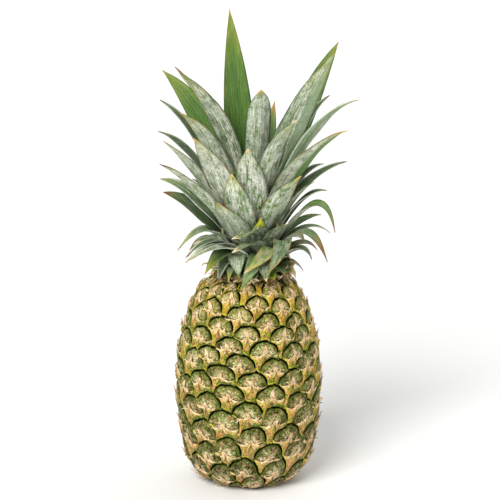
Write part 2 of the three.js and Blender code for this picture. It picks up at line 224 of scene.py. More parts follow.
class Shader:
    """A node tree that is written as sums: each method places nodes and returns an output socket."""

    def __init__(self, tree: bpy.types.NodeTree) -> None:
        """Starts writing in a material's or a node group's tree."""
        self.tree = tree

    def node(self, kind: str, **inputs: object) -> bpy.types.Node:
        """Places a node.

        Args:
            kind: the node's type.
            inputs: plain values or outputs, by the input's name with underscores for spaces.

        Returns:
            The node.
        """
        made = self.tree.nodes.new(kind)
        for name, value in inputs.items():
            self.feed(made.inputs[name.replace("_", " ")], value)
        return made

    def feed(self, socket: Socket, value: object) -> None:
        """Links or sets one input.

        Args:
            socket: the input.
            value: an output to link, a plain value, or a screen colour as six hexadecimal figures.
        """
        if isinstance(value, bpy.types.NodeSocket):
            self.tree.links.new(value, socket)
        else:
            socket.default_value = linear(value) if isinstance(value, str) else value

    def attribute(self, name: str) -> list[Socket]:
        """Reads an attribute of the piece's own mesh.

        Args:
            name: the attribute's name.

        Returns:
            Its four numbers. The last is a plain 1 where it has three.
        """
        made = self.tree.nodes.new("ShaderNodeAttribute")
        made.attribute_name = name
        return [*self.parts(made.outputs["Vector"]), made.outputs["Alpha"]]

    def object_place(self) -> Socket:
        """Object coordinates, in metres."""
        return self.tree.nodes.new("ShaderNodeTexCoord").outputs["Object"]

    def parts(self, vector: Socket) -> list[Socket]:
        """The three parts of a vector."""
        return list(self.node("ShaderNodeSeparateXYZ", Vector=vector).outputs)

    def vector(self, x: object, y: object, z: object) -> Socket:
        """A vector from its three parts."""
        return self.node("ShaderNodeCombineXYZ", X=x, Y=y, Z=z).outputs[0]

    def math(self, operation: str, *values: object, clamp: bool = False) -> Socket:
        """Places one sum.

        Args:
            operation: such as SUBTRACT or MAXIMUM.
            values: one to three values.
            clamp: whether the result is held between 0 and 1.

        Returns:
            The result.
        """
        made = self.tree.nodes.new("ShaderNodeMath")
        made.operation = operation
        made.use_clamp = clamp
        for socket, value in zip(made.inputs, values):
            self.feed(socket, value)
        return made.outputs[0]

    def times(self, first: object, *others: object, clamp: bool = False) -> Socket:
        """Multiplies two or more values.

        Args:
            first: the first value.
            others: the others.
            clamp: whether the product is held between 0 and 1.

        Returns:
            The product.
        """
        for other in others[:-1]:
            first = self.math("MULTIPLY", first, other)
        return self.math("MULTIPLY", first, others[-1], clamp=clamp)

    def plus(self, first: object, second: object) -> Socket:
        """The sum of two values."""
        return self.math("ADD", first, second)

    def scaled(self, value: object, factor: float, shift: object) -> Socket:
        """A value times a factor, plus a shift."""
        return self.math("MULTIPLY_ADD", value, factor, shift)

    def reach(self, x: Socket, y: Socket) -> Socket:
        """Distance from the origin: the root of x squared plus y squared."""
        return self.math("SQRT", self.plus(self.times(x, x), self.times(y, y)))

    def step(self, value: Socket, low: float, high: float) -> Socket:
        """Smooth step.

        Args:
            value: what is looked at.
            low: where the step is 0.
            high: where it is 1, which may be the lower of the two.

        Returns:
            The step.
        """
        made = self.node("ShaderNodeMapRange", Value=value, From_Min=min(low, high),
                         From_Max=max(low, high), To_Min=float(high < low), To_Max=float(low < high))
        made.interpolation_type = "SMOOTHSTEP"
        return made.outputs["Result"]

    def noise(self, place: Socket, scale: object, detail: float = 2.0, roughness: float = 0.5) -> Socket:
        """Cloudy noise from 0 to 1 at a scale."""
        return self.node("ShaderNodeTexNoise", Vector=place, Scale=scale, Detail=detail,
                         Roughness=roughness).outputs["Fac"]

    def mix(self, share: object, first: object, second: object) -> Socket:
        """Mixes two colours.

        Args:
            share: how much of the second colour there is, held between 0 and 1.
            first: the first colour.
            second: the second colour.

        Returns:
            The mixture.
        """
        made = self.tree.nodes.new("ShaderNodeMix")
        made.data_type = "RGBA"
        made.clamp_factor = True
        for socket, value in zip((made.inputs[0], *made.inputs[6:8]), (share, first, second)):
            self.feed(socket, value)
        return made.outputs[2]

    def layer(self, under: object, colour: str, *masks: object) -> Socket:
        """A screen colour laid over another colour as far as one mask, or the product of several, says."""
        return self.mix(masks[0] if len(masks) == 1 else self.times(*masks), under, colour)

    def tone(self, shift: object, *noises: tuple[Socket, float]) -> Socket:
        """One half, plus a shift, plus how far each noise is from one half times its weight.

        Args:
            shift: the shift.
            noises: pairs of a noise and its weight.

        Returns:
            The sum.
        """
        total = self.plus(shift, 0.5 - 0.5 * sum(weight for _, weight in noises))
        for noise, weight in noises:
            total = self.scaled(noise, weight, total)
        return total

    def ramp(self, value: Socket, stops: tuple) -> Socket:
        """Looks up a colour.

        Args:
            value: the place between the stops.
            stops: pairs of a position and a screen colour.

        Returns:
            The colour.
        """
        made = self.node("ShaderNodeValToRGB", Fac=value)
        elements = made.color_ramp.elements
        while len(elements) < len(stops):
            elements.new(1.0)
        for element, (position, code) in zip(elements, stops):
            element.position = position
            element.color = linear(code)
        return made.outputs["Color"]

    def bump(self, height: Socket, distance: float, strength: float = 1.0) -> Socket:
        """A normal that follows a height from 0 to 1, worth a distance in millimetres."""
        return self.node("ShaderNodeBump", Height=height, Distance=distance * MM,
                         Strength=strength).outputs["Normal"]

    def flecks(self, tree: bpy.types.NodeTree, place: Socket,
               grain: float) -> bpy.types.bpy_prop_collection:
        """Places the shared flecks.

        Args:
            tree: their node group.
            place: coordinates.
            grain: their scale.

        Returns:
            The outputs Pale and Dark.
        """
        made = self.tree.nodes.new("ShaderNodeGroup")
        made.node_tree = tree
        self.feed(made.inputs["Place"], place)
        self.feed(made.inputs["Grain"], grain)
        return made.outputs


def new_material(name: str) -> tuple[bpy.types.Material, Shader]:
    """Makes a material.

    Args:
        name: its name.

    Returns:
        The material, and what writes in its tree.
    """
    material = bpy.data.materials.new(name)
    material.use_nodes = True
    return material, Shader(material.node_tree)


def coat(shader: Shader, colour: object, roughness: object, normal: object = None,
         gloss: float = 0.5) -> None:
    """Feeds a material's Principled node.

    Args:
        shader: writes in the material's tree.
        colour: base colour.
        roughness: from 0, a mirror, to 1.
        normal: a normal, where the surface isn't plain.
        gloss: how strongly the surface mirrors.
    """
    inputs = shader.tree.nodes["Principled BSDF"].inputs
    shader.feed(inputs["Base Color"], colour)
    shader.feed(inputs["Roughness"], roughness)
    shader.feed(inputs["Specular IOR Level"], gloss)
    if normal is not None:
        shader.feed(inputs["Normal"], normal)


def speckle_group() -> bpy.types.NodeTree:
    """Flecks that every dry or bloomy skin of the fruit shows.

    Returns:
        A node group that gives a mask of pale grains and one of dark grains.
    """
    tree = bpy.data.node_groups.new("speckle", "ShaderNodeTree")
    for name, kind in (("Place", "NodeSocketVector"), ("Grain", "NodeSocketFloat")):
        tree.interface.new_socket(name=name, in_out="INPUT", socket_type=kind)
    for name in ("Pale", "Dark"):
        tree.interface.new_socket(name=name, in_out="OUTPUT", socket_type="NodeSocketFloat")
    shader = Shader(tree)
    entry, leave = tree.nodes.new("NodeGroupInput").outputs, tree.nodes.new("NodeGroupOutput").inputs
    coarse = shader.noise(entry["Place"], entry["Grain"], 3.0, 0.7)
    shader.feed(leave["Pale"], shader.step(coarse, 0.53, 0.68))
    shader.feed(leave["Dark"], shader.step(coarse, 0.46, 0.32))
    return tree


# ---- Finishes ------------------------------------------------------------------------------------

def radial_streaks(s: Shader, x: Socket, y: Socket, draw: Socket) -> tuple[Socket, Socket]:
    """Fibres that run out from an eye's centre.

    Args:
        s: writes in the material's tree.
        x: millimetres to the right of the centre.
        y: millimetres above it.
        draw: the eye's own number.

    Returns:
        Distance from the centre, and the fibres from 0 to 1.
    """
    reach = s.reach(x, y)
    size = s.math("MAXIMUM", reach, 0.05)
    around = [s.times(s.math("DIVIDE", part, size), 4.2) for part in (x, y)]
    return reach, s.noise(s.vector(*around, s.scaled(reach, 0.16, s.times(draw, 40.0))), 1.0, 3.0, 0.65)


@dataclass(frozen=True)
class RindFinish:
    """The dome of each eye above its bract: waxy olive green, with a pale middle and near-black seams that
    are the grooves' dark colour deepened by painted shade.
    """

    tones: tuple = ((0.12, "12160A"), (0.32, "484C16"), (0.5, "73712F"), (0.67, "A3985F"), (0.86, "E3CDA0"))
    mossy: tuple = ((0.12, "0C150A"), (0.32, "36500F"), (0.5, "5F7C26"), (0.67, "90A45A"), (0.86, "D6DCA8"))
    low_tones: tuple = (    # near the base
        (0.14, "1C170D"), (0.34, "574C30"), (0.52, "8A815C"), (0.68, "BCB38F"), (0.84, "F0E2C6"))
    ring: str = "4A5C18"
    pale: str = "DCC8A6"
    high: str = "B9A53C"    # near the crown
    # near black: the groove's own dark colour deepened into painted shade
    seam_and_shade: str = "010200"
    rim: str = "56781A"
    rosy: str = "B98A66"
    shadow: str = "2A1B0B"
    brown: str = "5E3A1A"
    roughness: float = 0.4
    gloss: float = 0.06
    noises: tuple = (       # scale, detail and roughness of cloud, hue, grain and fine
        (170.0, 3.0, 0.5), (330.0, 3.0, 0.65), (620.0, 3.0, 0.7), (1250.0, 2.0, 0.6))
    fleck_grain: float = 430.0

    def material(self, speckle: bpy.types.NodeTree) -> bpy.types.Material:
        """Builds the material.

        Attribute eye is (x, y, draw) in an eye's own millimetres; attribute cover is (seam_and_shade, ring
        inside the crest, painted shadow under the bract's edge or minus the rim, height).

        Args:
            speckle: the shared flecks.

        Returns:
            The material.
        """
        material, s = new_material("rind")
        place = s.object_place()
        x, y, draw, _ = s.attribute("eye")
        seam_and_shade, ring, under, height = s.attribute("cover")
        reach, streak = radial_streaks(s, x, y, draw)
        cloud, hue, grain, fine = (s.noise(place, *noise) for noise in self.noises)
        flecks = s.flecks(speckle, place, self.fleck_grain)

        low = s.step(height, 0.55, 0.0)
        middle = s.scaled(s.step(reach, 10.0, 2.0), 0.26, -0.13)
        middle = s.plus(middle, s.times(low, s.scaled(s.step(reach, 9.0, 3.0), 0.24, -0.1)))
        tone = s.tone(middle, (streak, 0.8), (grain, 1.5), (fine, 0.9), (cloud, 0.9), (draw, 0.14))
        base = s.mix(s.times(low, 0.7), s.ramp(tone, self.tones), s.ramp(tone, self.low_tones))
        base = s.mix(s.times(s.step(hue, 0.53, 0.42), 0.75), base, s.ramp(tone, self.mossy))
        base = s.layer(base, self.pale, s.step(reach, 7.5, 1.0), s.step(streak, 0.38, 0.6), 0.45)
        base = s.layer(base, self.high, s.step(height, 0.75, 1.0), 0.3)
        base = s.layer(base, self.rosy, s.step(hue, 0.53, 0.62), 0.45)
        base = s.layer(base, self.pale, flecks["Pale"], 0.35)
        base = s.layer(base, self.brown, flecks["Dark"], 0.6)
        base = s.layer(base, self.ring, ring, s.step(grain, 0.75, 0.35))
        # painted shadow that each bract's raised edge casts on the dome below it
        base = s.layer(base, self.shadow, under, 0.9)
        base = s.layer(base, self.rim, under, -1.0)
        # seams: the groove's dark colour with painted shade in it
        base = s.layer(base, self.seam_and_shade, seam_and_shade, s.scaled(cloud, 1.0, 0.75))
        rough = s.plus(s.times(streak, 0.5), s.times(grain, 0.6))
        coat(s, base, s.scaled(streak, 0.3, self.roughness), s.bump(rough, 1.1), self.gloss)
        return material


@dataclass(frozen=True)
class BractFinish:
    """Bracts: cream and pink along the upper edge, ochre and yellow-green below, green at the rim."""

    upper: tuple = ((0.1, "3A2A0C"), (0.3, "7A6A14"), (0.5, "B3A52A"), (0.66, "CE9C54"), (0.84, "F4DCA6"))
    lower: tuple = ((0.1, "14220A"), (0.3, "3E5A0E"), (0.5, "74881E"), (0.68, "A9A136"), (0.88, "DCC884"))
    cream: str = "F0D6AC"
    pink: str = "C98A62"
    yellow: str = "D6B93A"
    low: str = "CF9C78"     # near the base
    high: str = "D2A42C"    # near the crown
    lime: str = "A4B236"
    moss: str = "47601E"
    brown: str = "4A2A12"
    orange: str = "C8703A"
    white: str = "FAEEDA"
    leafy: str = "6E9226"
    salmon: str = "E3996E"
    # painted highlight along the rim on its lit side
    painted_highlight: str = "D8C840"
    wing: str = "DCC76A"
    roughness: float = 0.45
    gloss: float = 0.06
    noises: tuple = ((190.0, 3.0, 0.5), (360.0, 3.0, 0.65), (640.0, 3.0, 0.7))     # cloud, hue and grain
    fleck_grain: float = 560.0

    def material(self, speckle: bpy.types.NodeTree) -> bpy.types.Material:
        """Builds the material.

        Attribute eye is (x, y, draw) in an eye's own millimetres; attribute cover is (millimetres from the
        edge, millimetres from the rim, share of the way to a corner, height).

        Args:
            speckle: the shared flecks.

        Returns:
            The material.
        """
        material, s = new_material("bract")
        place = s.object_place()
        x, y, draw, _ = s.attribute("eye")
        from_edge, from_rim, side, height = s.attribute("cover")
        _, streak = radial_streaks(s, x, y, draw)
        cloud, hue, grain = (s.noise(place, *noise) for noise in self.noises)
        flecks = s.flecks(speckle, place, self.fleck_grain)

        near = s.scaled(s.step(from_edge, 6.0, 0.5), 0.16, -0.07)
        tone = s.tone(near, (streak, 1.7), (grain, 1.9), (cloud, 0.6))
        low = s.plus(s.step(from_rim, 8.5, 1.5), s.scaled(cloud, 1.8, -0.85))
        low = s.math("SUBTRACT", low, s.times(height, 0.25))
        low = s.math("MAXIMUM", low, s.step(side, 0.72, 0.95))
        body = s.mix(low, s.ramp(tone, self.upper), s.ramp(tone, self.lower))
        body = s.layer(body, self.orange, s.step(cloud, 0.55, 0.63), s.scaled(height, -0.25, 0.75))
        body = s.layer(body, self.leafy, s.step(hue, 0.49, 0.41), 0.65)
        body = s.layer(body, self.salmon, s.step(hue, 0.51, 0.59), 0.6)
        body = s.layer(body, self.yellow, s.step(from_edge, 5.5, 2.0), s.step(grain, 0.4, 0.56), 0.5)
        body = s.layer(body, self.low, s.step(height, 0.6, 0.0), s.step(grain, 0.3, 0.75))
        body = s.layer(body, self.high, s.step(height, 0.72, 0.95), 0.5)

        # A pale star: arms along the upper edge, and two legs with painted shade in the hollow between
        # them.
        spread = s.math("SUBTRACT", s.math("ABSOLUTE", x), s.times(from_edge, 0.45))
        body = s.layer(body, self.brown, s.step(spread, -0.4, -1.4), s.step(from_edge, 7.5, 5.0), 0.6)
        arm = s.math("MAXIMUM", s.step(side, 1.1, 0.7), s.step(x, 3.0, 7.0))
        leg = s.times(s.step(s.math("ABSOLUTE", spread), 1.3, 0.3), s.step(from_edge, 7.5, 3.0), 0.7)
        star = s.math("MAXIMUM", s.times(s.step(from_edge, 2.4, 0.8), arm), leg)
        patchy = s.plus(s.times(streak, 3.0), s.scaled(grain, 2.4, -2.0))
        paper = s.mix(s.step(streak, 0.36, 0.5), self.pink, self.cream)
        paper = s.layer(paper, self.wing, s.step(side, 0.5, 0.95))
        body = s.mix(s.times(star, patchy), body, paper)
        body = s.layer(body, self.white, flecks["Pale"], s.step(from_edge, 7.0, 1.0), 0.6)
        body = s.layer(body, self.brown, flecks["Dark"], 0.75)

        # The rim: moss and lime all along it, with painted shade widening the moss on the right, shaded
        # side, and a painted highlight, a gold line, on the lit left side.
        shaded = s.step(x, -3.0, 2.0)
        green = s.mix(s.step(s.scaled(shaded, -0.13, grain), 0.42, 0.58), self.moss, self.lime)
        edge = s.math("MAXIMUM", s.step(from_rim, 2.4, 0.5), s.times(s.step(from_rim, 5.0, 1.2), shaded))
        body = s.mix(s.times(edge, s.step(cloud, 0.36, 0.5), 0.85), body, green)
        body = s.layer(body, self.painted_highlight, s.step(from_rim, 2.0, 1.2), s.step(from_rim, 0.3, 0.9),
                       s.step(x, 1.5, -2.5), s.step(grain, 0.3, 0.5), 0.85)
        rough = s.plus(s.times(streak, 0.8), s.times(grain, 0.4))
        coat(s, body, s.scaled(streak, 0.3, self.roughness), s.bump(rough, 1.1), self.gloss)
        return material


@dataclass(frozen=True)
class PaperFinish:
    """Dry bract tips: cream at the root, tan along the length and dark brown at the point."""

    root: str = "F2DDB6"
    middle: str = "D6AC74"
    point: str = "5E3718"
    roughness: float = 0.7

    def material(self) -> bpy.types.Material:
        """Builds the material. Attribute tip is (share along, share across, draw).

        Returns:
            The material.
        """
        material, s = new_material("bract_paper")
        along, across, draw, _ = s.attribute("tip")
        fibres = s.noise(s.vector(s.times(across, 7.0), along, s.times(draw, 30.0)), 1.0, 3.0)
        colour = s.mix(s.step(fibres, 0.38, 0.62), self.middle, self.root)
        colour = s.layer(colour, self.point, s.step(s.plus(along, s.scaled(draw, 0.7, -0.45)), 0.62, 1.0))
        coat(s, colour, self.roughness, s.bump(fibres, 0.3, 0.7))
        return material


@dataclass(frozen=True)
class LeafFinish:
    """Stiff leaf: green inner face with long stripes, silver bloom on the back, dry tips and margins."""

    # dark green of the stripes, also laid as painted shade towards the root and along the edges
    deep_green_and_shade: str = "1E3A10"
    green: str = "557F2B"
    light: str = "8FAE50"
    silver: tuple = ((0.14, "4D5A41"), (0.36, "949C82"), (0.56, "C5CAB7"), (0.78, "EFF0E7"))
    lime: str = "C2C23A"
    tan: str = "C49A5A"
    dry: tuple = ((0.0, "EFE0B6"), (0.35, "C6A05A"), (0.7, "84603A"), (1.0, "352412"))
    # painted highlight: the lit half of a folded leaf's back, pale and smooth
    painted_lit_side: str = "94AA84"
    white: str = "E9ECE2"
    blotch: str = "C79C78"
    spot: str = "6B4226"
    # painted shade laid over each leaf towards its root, where the leaves tuck under one another
    painted_shade: str = "0C1208"
    roughness: float = 0.42
    gloss: float = 0.22
    noises: tuple = (       # scales across and along, detail and roughness, in the order they are used in
        (0.75, 0.012, 3.0, 0.6), (2.6, 0.05, 2.0, 0.6), (0.22, 0.1, 4.0, 0.7), (0.42, 0.16, 5.0, 0.75),
        (1.1, 0.6, 3.0, 0.75), (0.13, 0.04, 2.0, 0.6))

    def material(self) -> bpy.types.Material:
        """Builds the material.

        Attribute blade is (across, along, draw) in millimetres, tint is (bloom, dry, lime, scar), shade is
        (depth, brown, margin, painted_shade) and wear_and_light is (blotch, rim, stripe, painted_lit_side).
        depth carries darker green and painted shade towards the root, rim painted shadow along the edge,
        and painted_lit_side a painted highlight on one half of the back.

        Returns:
            The material.
        """
        material, s = new_material("leaf")
        across, along, draw, _ = s.attribute("blade")
        bloom, dry, lime, scar = s.attribute("tint")
        depth, brown, margin, painted_shade = s.attribute("shade")
        blotch, rim, stripe, painted_lit_side = s.attribute("wear_and_light")
        offset = s.times(draw, 91.0)

        stripes, fine, patch, scratch, grain, wide_patch = (
            s.noise(s.vector(s.times(across, wide), s.times(along, long), offset), 1.0, detail, roughness)
            for wide, long, detail, roughness in self.noises)

        green = s.mix(s.step(stripes, 0.05, 0.66), self.deep_green_and_shade, self.green)
        green = s.layer(green, self.light, s.step(fine, 0.48, 0.68), 0.5)
        green = s.layer(green, self.deep_green_and_shade, s.step(grain, 0.47, 0.36), 0.4)
        # depth: the leaf's darker green plus painted shade towards the root, on green and silver alike
        green = s.layer(green, self.deep_green_and_shade, depth)
        silver = s.ramp(s.tone(s.times(depth, -0.2), (fine, 1.1), (grain, 1.15), (patch, 1.0)), self.silver)
        worn = s.times(scar, s.step(scratch, 0.5, 0.55), s.step(wide_patch, 0.46, 0.56))
        striped = s.times(s.step(stripes, 0.46, 0.58), stripe)
        kept = [s.math("SUBTRACT", 1.0, lost) for lost in (striped, worn)]
        covered = s.times(bloom, *kept, clamp=True)
        colour = s.mix(covered, green, silver)
        # painted highlight on the lit half of the back
        colour = s.layer(colour, self.painted_lit_side, painted_lit_side, 0.68)
        colour = s.layer(colour, self.blotch, blotch, s.step(patch, 0.38, 0.56))
        colour = s.layer(colour, self.spot, blotch, s.step(scratch, 0.56, 0.64))
        colour = s.layer(colour, self.lime, lime, s.step(fine, 0.25, 0.5))
        edge = s.mix(s.step(grain, 0.58, 0.64), self.tan, self.spot)
        colour = s.mix(s.times(margin, s.step(patch, 0.5, 0.56)), colour, edge)
        # painted shadow along the very edge of each leaf, and a pale edge where rim is below 0
        colour = s.layer(colour, self.deep_green_and_shade, rim)
        colour = s.layer(colour, self.white, rim, -1.0)
        withered = s.tone(s.plus(brown, -0.5), (grain, 0.5), (fine, 0.4))
        colour = s.mix(dry, colour, s.ramp(withered, self.dry))
        # painted shade: each leaf darkens towards its root, where the leaves overlap
        colour = s.layer(colour, self.painted_shade, painted_shade)
        ribs = s.plus(s.times(stripes, 0.5), s.times(fine, 0.5))
        coat(s, colour, s.scaled(covered, 0.22, self.roughness), s.bump(ribs, 0.7, 0.8), self.gloss)
        return material


@dataclass(frozen=True)
class StalkFinish:
    """Cut end of the stalk: pale tan wood with darker fibre ends and a brown rind."""

    pale: str = "D9C196"
    fibre: str = "8F6B3F"
    edge: str = "6A4A28"
    edge_span: tuple = (0.86, 0.98)     # shares of the radius over which the rind darkens
    roughness: float = 0.85

    def material(self, radius: float) -> bpy.types.Material:
        """Builds the material.

        Args:
            radius: the stalk's, in millimetres.

        Returns:
            The material.
        """
        material, s = new_material("cut_stalk")
        place = s.object_place()
        x, y, _ = s.parts(place)
        dots = s.noise(place, 900.0, 2.0, 0.6)
        colour = s.mix(s.step(dots, 0.5, 0.64), self.pale, self.fibre)
        colour = s.layer(colour, self.fibre, s.step(s.noise(place, 150.0, 3.0), 0.45, 0.7), 0.5)
        start, end = (share * radius * MM for share in self.edge_span)
        colour = s.layer(colour, self.edge, s.step(s.reach(x, y), start, end))
        coat(s, colour, self.roughness, s.bump(dots, 0.6, 0.8))
        return material


# ---- Rind ----------------------------------------------------------------------------------------

@dataclass
class Outline:
    """Half outline of the fruit without its relief, measured by its length from the ground plane up."""

    points: tuple = ((24, -70), (24, -20), (22, -3), (38.5, 6), (49.6, 20.5), (55.5, 44), (58.6, 76),
                     (57.8, 109), (52.6, 138), (44.6, 159), (38, 170), (28, 178), (25, 186), (24, 260))
    samples: int = 480
    height: float = 178.0
    stalk_reach: float = 12.8       # where the underside meets the stalk
    hollow: float = 3.2             # how far the underside rises towards the stalk
    seat_reach: float = 16.0        # where the rind ends under the crown
    seat_rise: float = 3.5          # how far it climbs there
    turn_steps: int = 23            # points of the turned-in part at either end
    fade_length: float = 20.0       # near both ends the relief fades
    fade_least: float = 0.35
    slope_span: float = 0.6         # how far on either side of a place its slope is taken
    lengths: Array = field(init=False)
    radii: Array = field(init=False)
    heights: Array = field(init=False)
    top: float = field(init=False)

    def __post_init__(self) -> None:
        """Samples a uniform Catmull-Rom curve through the points, then turns both ends inwards in place of
        the flat cuts: the underside in to the stalk, the seat in under the crown."""
        points = np.array(self.points, float)
        last = len(points) - 1
        place = np.linspace(0, last, self.samples + 1)
        i = np.minimum(place.astype(int), last - 1)
        w = (place - i)[:, None]
        before, after = points[np.maximum(i - 1, 0)], points[np.minimum(i + 2, last)]
        start, end = points[i], points[i + 1]
        leave, arrive = (end - before) / 2, (after - start) / 2
        curve = ((2 * start - 2 * end + leave + arrive) * w ** 3
                 + (3 * end - 3 * start - 2 * leave - arrive) * w ** 2 + leave * w + start)
        kept = curve[(curve[:, 1] >= 0) & (curve[:, 1] <= self.height)]
        inward = np.linspace(0, 1, self.turn_steps + 1)[1:]
        climb = smooth(inward, 0, 1)
        foot, seat = (np.stack([lerp(edge, reach, inward), level + rise * climb], 1)
                      for edge, reach, level, rise in ((kept[0, 0], self.stalk_reach, 0, self.hollow),
                                                       (kept[-1, 0], self.seat_reach, self.height,
                                                        self.seat_rise)))
        line = np.concatenate([foot[::-1], kept, seat])
        self.lengths = run_length(line)
        self.lengths -= self.lengths[len(foot)]
        self.radii, self.heights = line.T
        self.top = float(np.interp(self.height, kept[:, 1], self.lengths[len(foot):len(foot) + len(kept)]))

    def at(self, length: Array) -> tuple[Array, Array, Array, Array]:
        """Where places on the outline are and which way is out.

        Args:
            length: lengths along the outline.

        Returns:
            Radius, height and the outward normal's two parts.
        """
        below, here, above = (
            np.array([np.interp(place, self.lengths, values) for values in (self.radii, self.heights)])
            for place in (length - self.slope_span, length, length + self.slope_span))
        along = above - below
        along = along / np.maximum(np.hypot(*along), TINY)
        return here[0], here[1], along[1], -along[0]


@dataclass
class EyeSpiral:
    """The spiral that the eyes stand on, and the crest that bounds each eye above.

    An eye's crest is a lopsided arch over its centre with a leg down from each end. The right leg lands on
    the crest of the eye 13 before it, the left leg on that of the eye 8 before it, so that the crests
    divide the whole skin into one cell for each eye.
    """

    first: int = -158
    last: int = 100
    turn: float = math.radians(137.595)
    start: float = math.radians(-8)
    climb: tuple = (130.5, 121.6, -16.5, 10)    # cubic in hundreds of eyes
    gather: float = 0.08                        # how far the eyes close up towards -Y, in radians
    lean: float = 2.0                           # how much higher they stand on the +X side
    half_turn: float = math.radians(12.9)       # half width of an eye
    rise: float = 9.6                           # height of a crest where the eyes climb as in the middle
    middle_climb: float = 1.187
    arch: float = 1.85                          # power of the arch: 2 is an ellipse
    skew: float = 0.15                          # how far the top of the arch lies to the right
    ripple: float = 0.4
    stretch: tuple = (0.2, 0.12)                # how much higher crests are near the base and the crown
    widen: tuple = (0.09, 0.085)                # and how much wider
    low_eyes: tuple = (25, 45)                  # eyes before the middle one between which that sets in
    high_eyes: tuple = (20, 36)                 # and eyes after it
    right_step: int = 8
    left_step: int = 13
    wander: float = 1.1                         # how far centres stray, in millimetres
    wander_limit: float = 2.2
    shown: tuple = (-80, 52)                    # eyes that can be seen from the front stray less
    shown_facing: float = 0.25                  # cosine of their turn at the sides
    shown_wander: float = 0.2
    width_draw: tuple = (0.94, 1.05)
    rise_draw: tuple = (0.9, 1.08)
    tilt_draw: tuple = (-2.0, 2.5, -7, 3)       # mean, spread and limits, rise per radian
    skew_draw: tuple = (0, 0.08, -0.16, 0.16)
    mean_radius: float = 56.0
    landing_gap: float = 1.8                    # least distance between two landings on a crest
    landing_limit: float = 0.86                 # how far out they land, in half widths
    waves: tuple = ((1.2, 5, 23), (1.0, 9, 40), (0.8, 21, 70))  # size, pace, phase by the eye's draw
    arch_points: int = 81                       # points along a crest's arch
    leg_points: int = 8
    fade_from: float = 0.2                      # a groove fades along each leg from this share of it
    fade_past: float = 1.8                      # to this far past it
    seed: int = 7
    strays: dict = field(default_factory=lambda: {
        # Eyes that stand clearly off the spiral, by number: millimetres to the right and up.
        50: (3, 1), 47: (-4, 0), 39: (-5, -1), 37: (-3, 0), 29: (-2, -2), 21: (-3, -1), 16: (2, 1),
        11: (-5, 2), 10: (-4, 1), 8: (2, 0), -3: (4, 3), -8: (3, 1), -10: (3, 4), -16: (3, 3),
        -18: (5, 4), -23: (-4, -1), -24: (4, 5), -26: (5, 4), -34: (5, 0), -37: (2, 5), -39: (-3, -1),
        -42: (4, 2), -44: (-1, 3), -47: (-3, -5), -50: (3, 3), -55: (-5, -5), -58: (3, 6), -60: (3, -3),
        -63: (-5, 1), -65: (1, 5), -68: (-1, -4), -76: (-4, 2)})
    numbers: Array = field(init=False)
    turns: Array = field(init=False)
    lengths: Array = field(init=False)
    halves: Array = field(init=False)
    rises: Array = field(init=False)
    tilts: Array = field(init=False)
    skews: Array = field(init=False)
    draws: Array = field(init=False)

    def __post_init__(self) -> None:
        """Places every eye and draws its small irregularities."""
        draw = np.random.default_rng(self.seed)
        self.numbers = np.arange(self.first, self.last + 1)
        count = len(self.numbers)
        hundred = self.numbers / 100
        start, rise, bow, skew = self.climb
        turns = self.start + self.numbers * self.turn
        wander = draw.normal(0, self.wander, (2, count)).clip(-self.wander_limit, self.wander_limit)
        first, last = self.shown
        shown = (self.numbers >= first) & (self.numbers <= last) & (np.cos(turns) > self.shown_facing)
        wander[:, shown] *= self.shown_wander
        for number, stray in self.strays.items():
            wander[:, number - self.first] = stray
        lengths = start + rise * hundred + bow * hundred ** 2 + skew * hundred ** 3
        self.turns = turns - self.gather * np.sin(turns) + wander[0] / self.mean_radius
        self.lengths = lengths + self.lean * np.sin(turns) + wander[1]
        slope = (rise + 2 * bow * hundred + 3 * skew * hundred ** 2) / 100
        low, high = smooth(-self.numbers, *self.low_eyes), smooth(self.numbers, *self.high_eyes)
        self.halves = self.half_turn * draw.uniform(*self.width_draw, count)
        self.halves = self.halves * (1 + self.widen[0] * low + self.widen[1] * high)
        self.rises = self.rise * slope / self.middle_climb * draw.uniform(*self.rise_draw, count)
        self.rises = self.rises * (1 + self.stretch[0] * low + self.stretch[1] * high)
        self.tilts, skews = (draw.normal(mean, spread, count).clip(least, most)
                             for mean, spread, least, most in (self.tilt_draw, self.skew_draw))
        self.skews = self.skew + skews
        self.draws = draw.uniform(0, 1, count)

    def crest(self, i: int, offset: Array) -> Array:
        """Length along the outline of eye i's crest, a turn offset away from its centre.

        With s the offset in half widths, moved by the skew times 1 - s squared, the arch is the rise times
        (1 - |s| to the power) to the power's inverse, with three small waves on it.

        Args:
            i: the eye's place in the arrays.
            offset: turns away from its centre, in radians.

        Returns:
            The lengths.
        """
        share = np.clip(offset / self.halves[i], -1, 1)
        moved = share - self.skews[i] * (1 - share ** 2)
        arch = np.maximum(0, 1 - np.abs(moved) ** self.arch) ** (1 / self.arch)
        wave = sum(size * np.sin(pace * share + phase * self.draws[i]) for size, pace, phase in self.waves)
        wave = wave * (1 - share ** 2)
        return self.lengths[i] + self.tilts[i] * offset + self.rises[i] * arch + self.ripple * wave

    def offset(self, i: int, j: int) -> float:
        """Turn from eye i's centre to eye j's."""
        return float(unwound(self.turns[j] - self.turns[i]))

    def marks(self, j: int, radius: float) -> tuple[float, float]:
        """Where two legs land on eye j's crest. They stay apart and on the crest.

        Args:
            j: the eye's place in the arrays.
            radius: the fruit's radius there.

        Returns:
            Offset of its upper left neighbour's right leg, then of its upper right neighbour's left leg.
        """
        left = self.offset(j, j + self.left_step) + self.halves[j + self.left_step]
        right = self.offset(j, j + self.right_step) - self.halves[j + self.right_step]
        apart = self.landing_gap / radius
        if right - left < apart:
            middle = (left + right) / 2
            left, right = middle - apart / 2, middle + apart / 2
        limit = self.landing_limit * self.halves[j]
        left, right = float(np.clip(left, -limit, limit)), float(np.clip(right, -limit, limit))
        if right - left < apart:
            left, right = (left, left + apart) if left < 0 else (right - apart, right)
        return left, right

